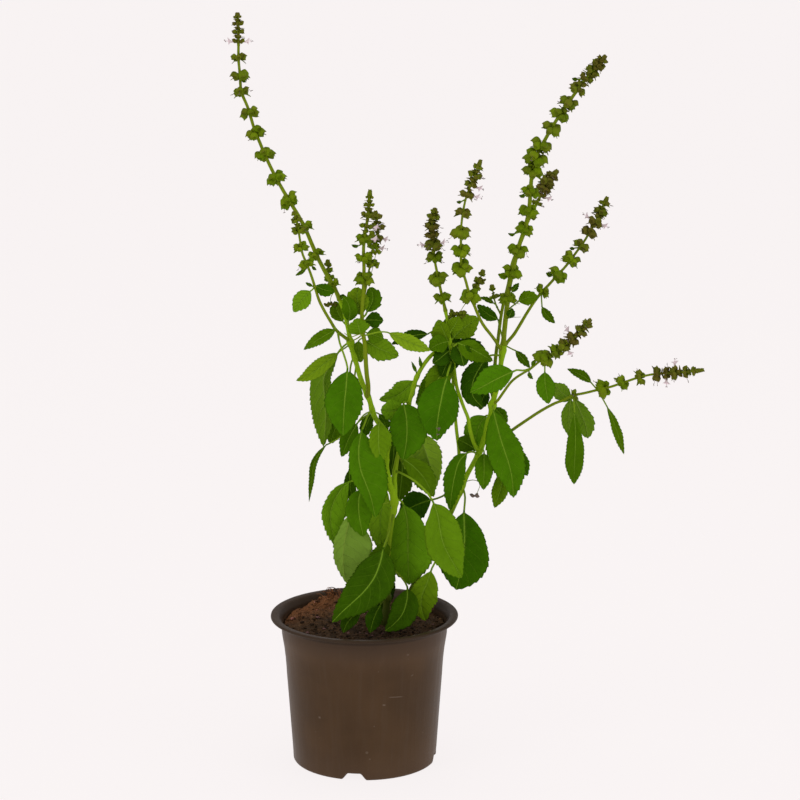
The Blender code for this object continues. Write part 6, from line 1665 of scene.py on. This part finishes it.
    ("left", 0.30, [(391, 487, -4.6), (384, 484, 2)], [(380, 484, 4), (374, 490, 8), (369, 500, 11), (366, 515, 13)], 14, 0.45, 0.0, 0, 12, 1),
    ("left", (0.30, 0.2), [(373, 411, -6), (372.5, 413, 0)], [(372, 414, 2), (367, 424, 4), (363.5, 438, 6)], 10, 0.45, 0.0, 0, 12, 1),
    ("left", (0.45, 0.4), [(373.5, 412, -6), (377, 413, 0)], [(379, 414, 2), (384, 421, 4), (387, 432, 6)], 8, 0.45, 0.0, 0, 12, 1),
    ("left", (0.30, 0.2), [(388, 478, -5), (370, 470, 3), (352, 467, 8)], [(349, 470, 9), (350, 484, 10), (352, 503, 11)], 9.5, 0.45, 0.0, 0, 12, 1),
    ("right", (0.08, 0.0), [(493, 402, 5), (490, 390, 9)], [(487, 388, 10), (483, 398, 11), (480, 410, 11)], 10, 0.50, 0.0, 0, 12, 1),
    # narrow bracts that stand off below some whorls
    ("left", (0.25, 0.60), [(307, 266, -23), (306.5, 268, -23.5)], [(306, 269, -24), (301, 272.5, -25), (295.5, 275.5, -25)], 3.0, 0.45, 0.0, 0, 14, 1),
    ("left", (0.10, 0.50), [(308, 262, -23.5), (311, 265, -24)], [(312, 266, -24), (314, 268.5, -24), (316.5, 270, -24)], 2.4, 0.45, 0.0, 0, 14, 1),
    ("left", (0.15, 0.60), [(240, 76, 30), (240.6, 79, 28)], [(241, 79.8, 28), (243.5, 81.3, 28), (246.5, 82, 28)], 1.8, 0.45, 0.0, 0, 14, 1),
    ("centre", (0.10, 0.50), [(364.3, 243, -10.5), (360, 245, -12)], [(359, 245.5, -12), (355.5, 246.3, -12), (351.5, 244.8, -12)], 2.6, 0.45, 0.0, 0, 14, 1),
    ("right", (0.60, 0.80), [(512.5, 272.5, 2), (509, 274.5, 0)], [(508, 275, 0), (503.5, 276, -0.5), (498, 274.2, -1)], 5.0, 0.40, 0.0, 0, 14, 1),
    ("right", (0.15, 0.50), [(524.3, 231, -3), (516.5, 233, -4)], [(515.5, 233.4, -4), (511.8, 234.8, -4), (508, 233.2, -4)], 2.4, 0.45, 0.0, 0, 14, 1),
    ("right", (0.20, 0.60), [(530.5, 192, -8), (526.5, 195, -9)], [(525.6, 195.4, -9), (522.5, 196.2, -9), (519, 195.6, -9)], 2.8, 0.45, 0.0, 0, 14, 1),
    ("right", (0.10, 0.60), [(580, 247.5, 27), (575.5, 248, 27)], [(574.8, 248, 27), (572.5, 248.6, 27), (569.5, 248, 27)], 2.6, 0.45, 0.0, 0, 14, 1),
    ("right", (0.25, 0.60), [(557.5, 275, 22.5), (553.5, 275.5, 22)], [(552.5, 275.6, 22), (549.5, 275, 22), (546, 272.8, 22)], 3.2, 0.45, 0.0, 0, 14, 1),
    ("right", (0.10, 0.80), [(582.8, 79.5, -20), (578.8, 79.4, -20)], [(578, 79.4, -20), (575, 79.3, -20), (572, 78.4, -20)], 2.8, 0.45, 0.0, 0, 14, 1),
    ("right", (0.05, 0.80), [(466, 199, -28), (462.5, 201, -28.5)], [(461.8, 201.3, -28.5), (459, 202.2, -28.5), (456.5, 201.6, -28.5)], 2.4, 0.45, 0.0, 0, 14, 1),
    ("left", (0.50, 0.4), [(356.5, 364, -2), (354, 380, 10), (350.5, 395, 18)], [(348, 402, 20), (342, 416, 22), (335.5, 428, 22), (330, 444, 21)], 17, 0.5, 0.0, 0, 10, 1),
]

# Little knots of buds and withered bits: path to the knot, buds, bud length (mm), spread
# (mm), how green, how purple, and 1 for buds or 3 for dry ones
KNOTS = [
    ([(469.5, 297, -16), (465, 304, -10), (457.8, 315.5, -3)], 26, 3.5, 5.4, 0.35, 0.45, 1),
    ([(335.5, 290, 11.5), (331, 297, 12.5), (330.3, 305.5, 13)], 16, 2.8, 3.4, 0.25, 0.70, 1),
    ([(368.5, 282, -11), (371, 274, -10), (373.4, 266, -9)], 13, 3.2, 3.6, 0.70, 0.12, 1),
    ([(372.5, 268, -9), (374.5, 260, -9), (376, 253, -9)], 13, 3.1, 3.4, 0.65, 0.20, 1),
    ([(503.6, 303, 21), (501, 299, 19), (499.5, 296, 17)], 9, 2.6, 2.0, 0.25, 0.40, 1),
    ([(508.8, 291, 4), (512, 290, 2)], 8, 2.4, 1.8, 0.25, 0.50, 1),
    ([(484.6, 283, -5), (482, 281, -6)], 4, 2.2, 1.2, 0.30, 0.50, 1),
    ([(464.5, 482, 7), (473, 480, 2), (480, 483, -2), (478, 491, -4), (475, 496, -5)], 6, 3.0, 1.2, 0.30, 0.50, 3),
]


def build_knots(mats):
    rng = random.Random(77)
    shape = Shape("bud_knots")
    for path, count, size, spread, green, purple, slot in KNOTS:
        line = world(path, 14)
        thread(shape, line, 0.34 * MM, 0, (0.5, 0.5, 0.6), 6)
        foot = line[-1]
        for k in range(count):
            a = k * 2.4 + rng.uniform(-0.3, 0.3)
            way = unit(np.array((math.cos(a), 0.75 * math.sin(a), rng.uniform(-0.25, 0.75))))
            end = foot + way * np.array((1.0, 0.8, 0.55)) * spread * MM * rng.uniform(0.15, 1.0)
            thread(shape, [foot - way * 0.1 * MM, (foot + end) / 2, end + way * 0.4 * MM], 0.26 * MM, 0, (0.5, 0.5, 0.6))
            info = np.stack([BUD[2], np.full(len(BUD[2]), green + rng.uniform(-0.1, 0.15)),
                             np.full(len(BUD[2]), purple + rng.uniform(-0.15, 0.15))], axis=1)
            shape.copy_in(place(BUD[0], end, way, np.array((0.05, 0.1, 1.0)), size * MM * rng.uniform(0.8, 1.15), 1.3),
                          BUD[1], info, slot)
    # a withered flower that has fallen on a leaf, and a fine loose thread at the right
    for u, v, y, reach, turn in ((436, 428, -30.2, 3.2, 0.4), (438.5, 431, -30.4, 3.6, 1.5), (440, 434, -30.2, 2.6, 2.6)):
        p = np.array(at(u, v, y))
        way = unit(np.array((math.cos(turn), -0.1, math.sin(turn) - 0.7)))
        shape.copy_in(place(FLORET[0], p, way, np.array((0.0, -1.0, 0.2)), reach * MM, 0.9), FLORET[1],
                      np.tile((0.5, 0.5, 0.5), (len(FLORET[0]), 1)), 3)
    thread(shape, world([(505.7, 319, 7), (513, 317.5, 6), (521, 317, 5)], 8), 0.26 * MM, 0, (0.5, 0.5, 0.6))
    for path, r in (([(361.8, 335, -13.5), (357, 338.5, -12), (351, 341, -6), (348.5, 338, 1)], 0.55),
                    ([(362.6, 333, -13.5), (357, 335, -18), (350, 337, -14), (344.5, 333, -9)], 0.45),
                    ([(362.5, 331, -13), (366, 327, -12), (370, 324.5, -10)], 0.40)):
        thread(shape, world(path, 12), r * MM, 0, (0.5, 0.5, 1.0), 8)
    ob = shape.finish(mats, 60)
    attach(ob, "root")


def build_twig(stem):
    """Thin side stem behind the leaves, from the right stem up to the thin one."""
    shape = Shape("thin_twig")
    line = world([(452, 509.5, 9), (455.5, 482, 12), (459, 455, 12), (456.5, 430, 8), (454.3, 405, 1), (453, 385, -3),
                  (454, 367, -5)], 60)
    tube(shape, line, np.linspace(1.35, 1.05, 61) * MM, 10, 0.8, 0, square=0.05, rough=0.03, rng=random.Random(5))
    ob = shape.finish([stem])
    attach(ob, "root")


def build_plant():
    top, low = leaf_material("leaf_upper_side", False), leaf_material("leaf_underside", True)
    # young parts are lighter green, and this young green is raised further as painted light against the shade inside
    # the plant
    stem = stem_material("stem_green", (0.275, 0.470, 0.008), (0.125, 0.180, 0.010), (0.120, 0.100, 0.012))
    petiole = stem_material("petiole_green", (0.210, 0.350, 0.014), (0.125, 0.205, 0.008), (0.130, 0.125, 0.012))
    stalk = stem_material("flower_stalk", (0.215, 0.305, 0.008), (0.150, 0.205, 0.006), (0.130, 0.110, 0.008))
    spike_mats = [stalk, calyx_material(), flower_material(), dry_material()]

    note_joints()
    for name, (r0, r1, points) in STEMS.items():
        parent = {"stem_middle": "stem_left", "stem_thin": "stem_right"}.get(name)
        build_stem(name, r0, r1, points, stem, parent)
    for name, (parent, r, points, whorls) in SPIKES.items():
        build_spike(name, parent, r, points, whorls, spike_mats)
    for k, (name, row) in enumerate(LEAVES.items()):
        parent, pet, mid, width, widest, lean, turn, fold, face = row
        shape = Shape(name + "_fine")
        leaf(shape, pet, mid, width, widest, lean, turn, fold, face, LEAF_TONE_PAINTED_SHADE_AND_HUE[name], 100 + k)
        ob = shape.finish([top, low, petiole])
        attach(ob, "root")
        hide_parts(name)
    groups = {}
    for k, (group, tone, pet, mid, width, widest, lean, turn, fold, face) in enumerate(LEAFLETS):
        shape = groups.setdefault(group, Shape("leaflets_" + group))
        look = tone if isinstance(tone, tuple) else (tone, 0.15 + 0.75 * tone)
        leaf(shape, pet, mid, width, widest, lean, turn, fold, face, look, 300 + k)
    for shape in groups.values():
        ob = shape.finish([top, low, petiole])
        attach(ob, "root")
    build_knots(spike_mats)
    build_twig(stem)


def main():
    make_camera()
    make_stage()
    build_pot(pot_material())
    build_soil(soil_material("coco_peat", (0.048, 0.027, 0.012), (0.120, 0.062, 0.026), (0.27, 0.14, 0.065), 0.5),
               soil_material("coco_dark", (0.022, 0.012, 0.006), (0.050, 0.027, 0.013), (0.10, 0.055, 0.03), 0.3),
               soil_material("coco_fibre", (0.150, 0.075, 0.035), (0.260, 0.135, 0.060), (0.36, 0.22, 0.12), 0.6),
               soil_material("coco_pale", (0.200, 0.100, 0.100), (0.330, 0.170, 0.150), (0.45, 0.30, 0.30), 0.6))
    build_plant()


main()
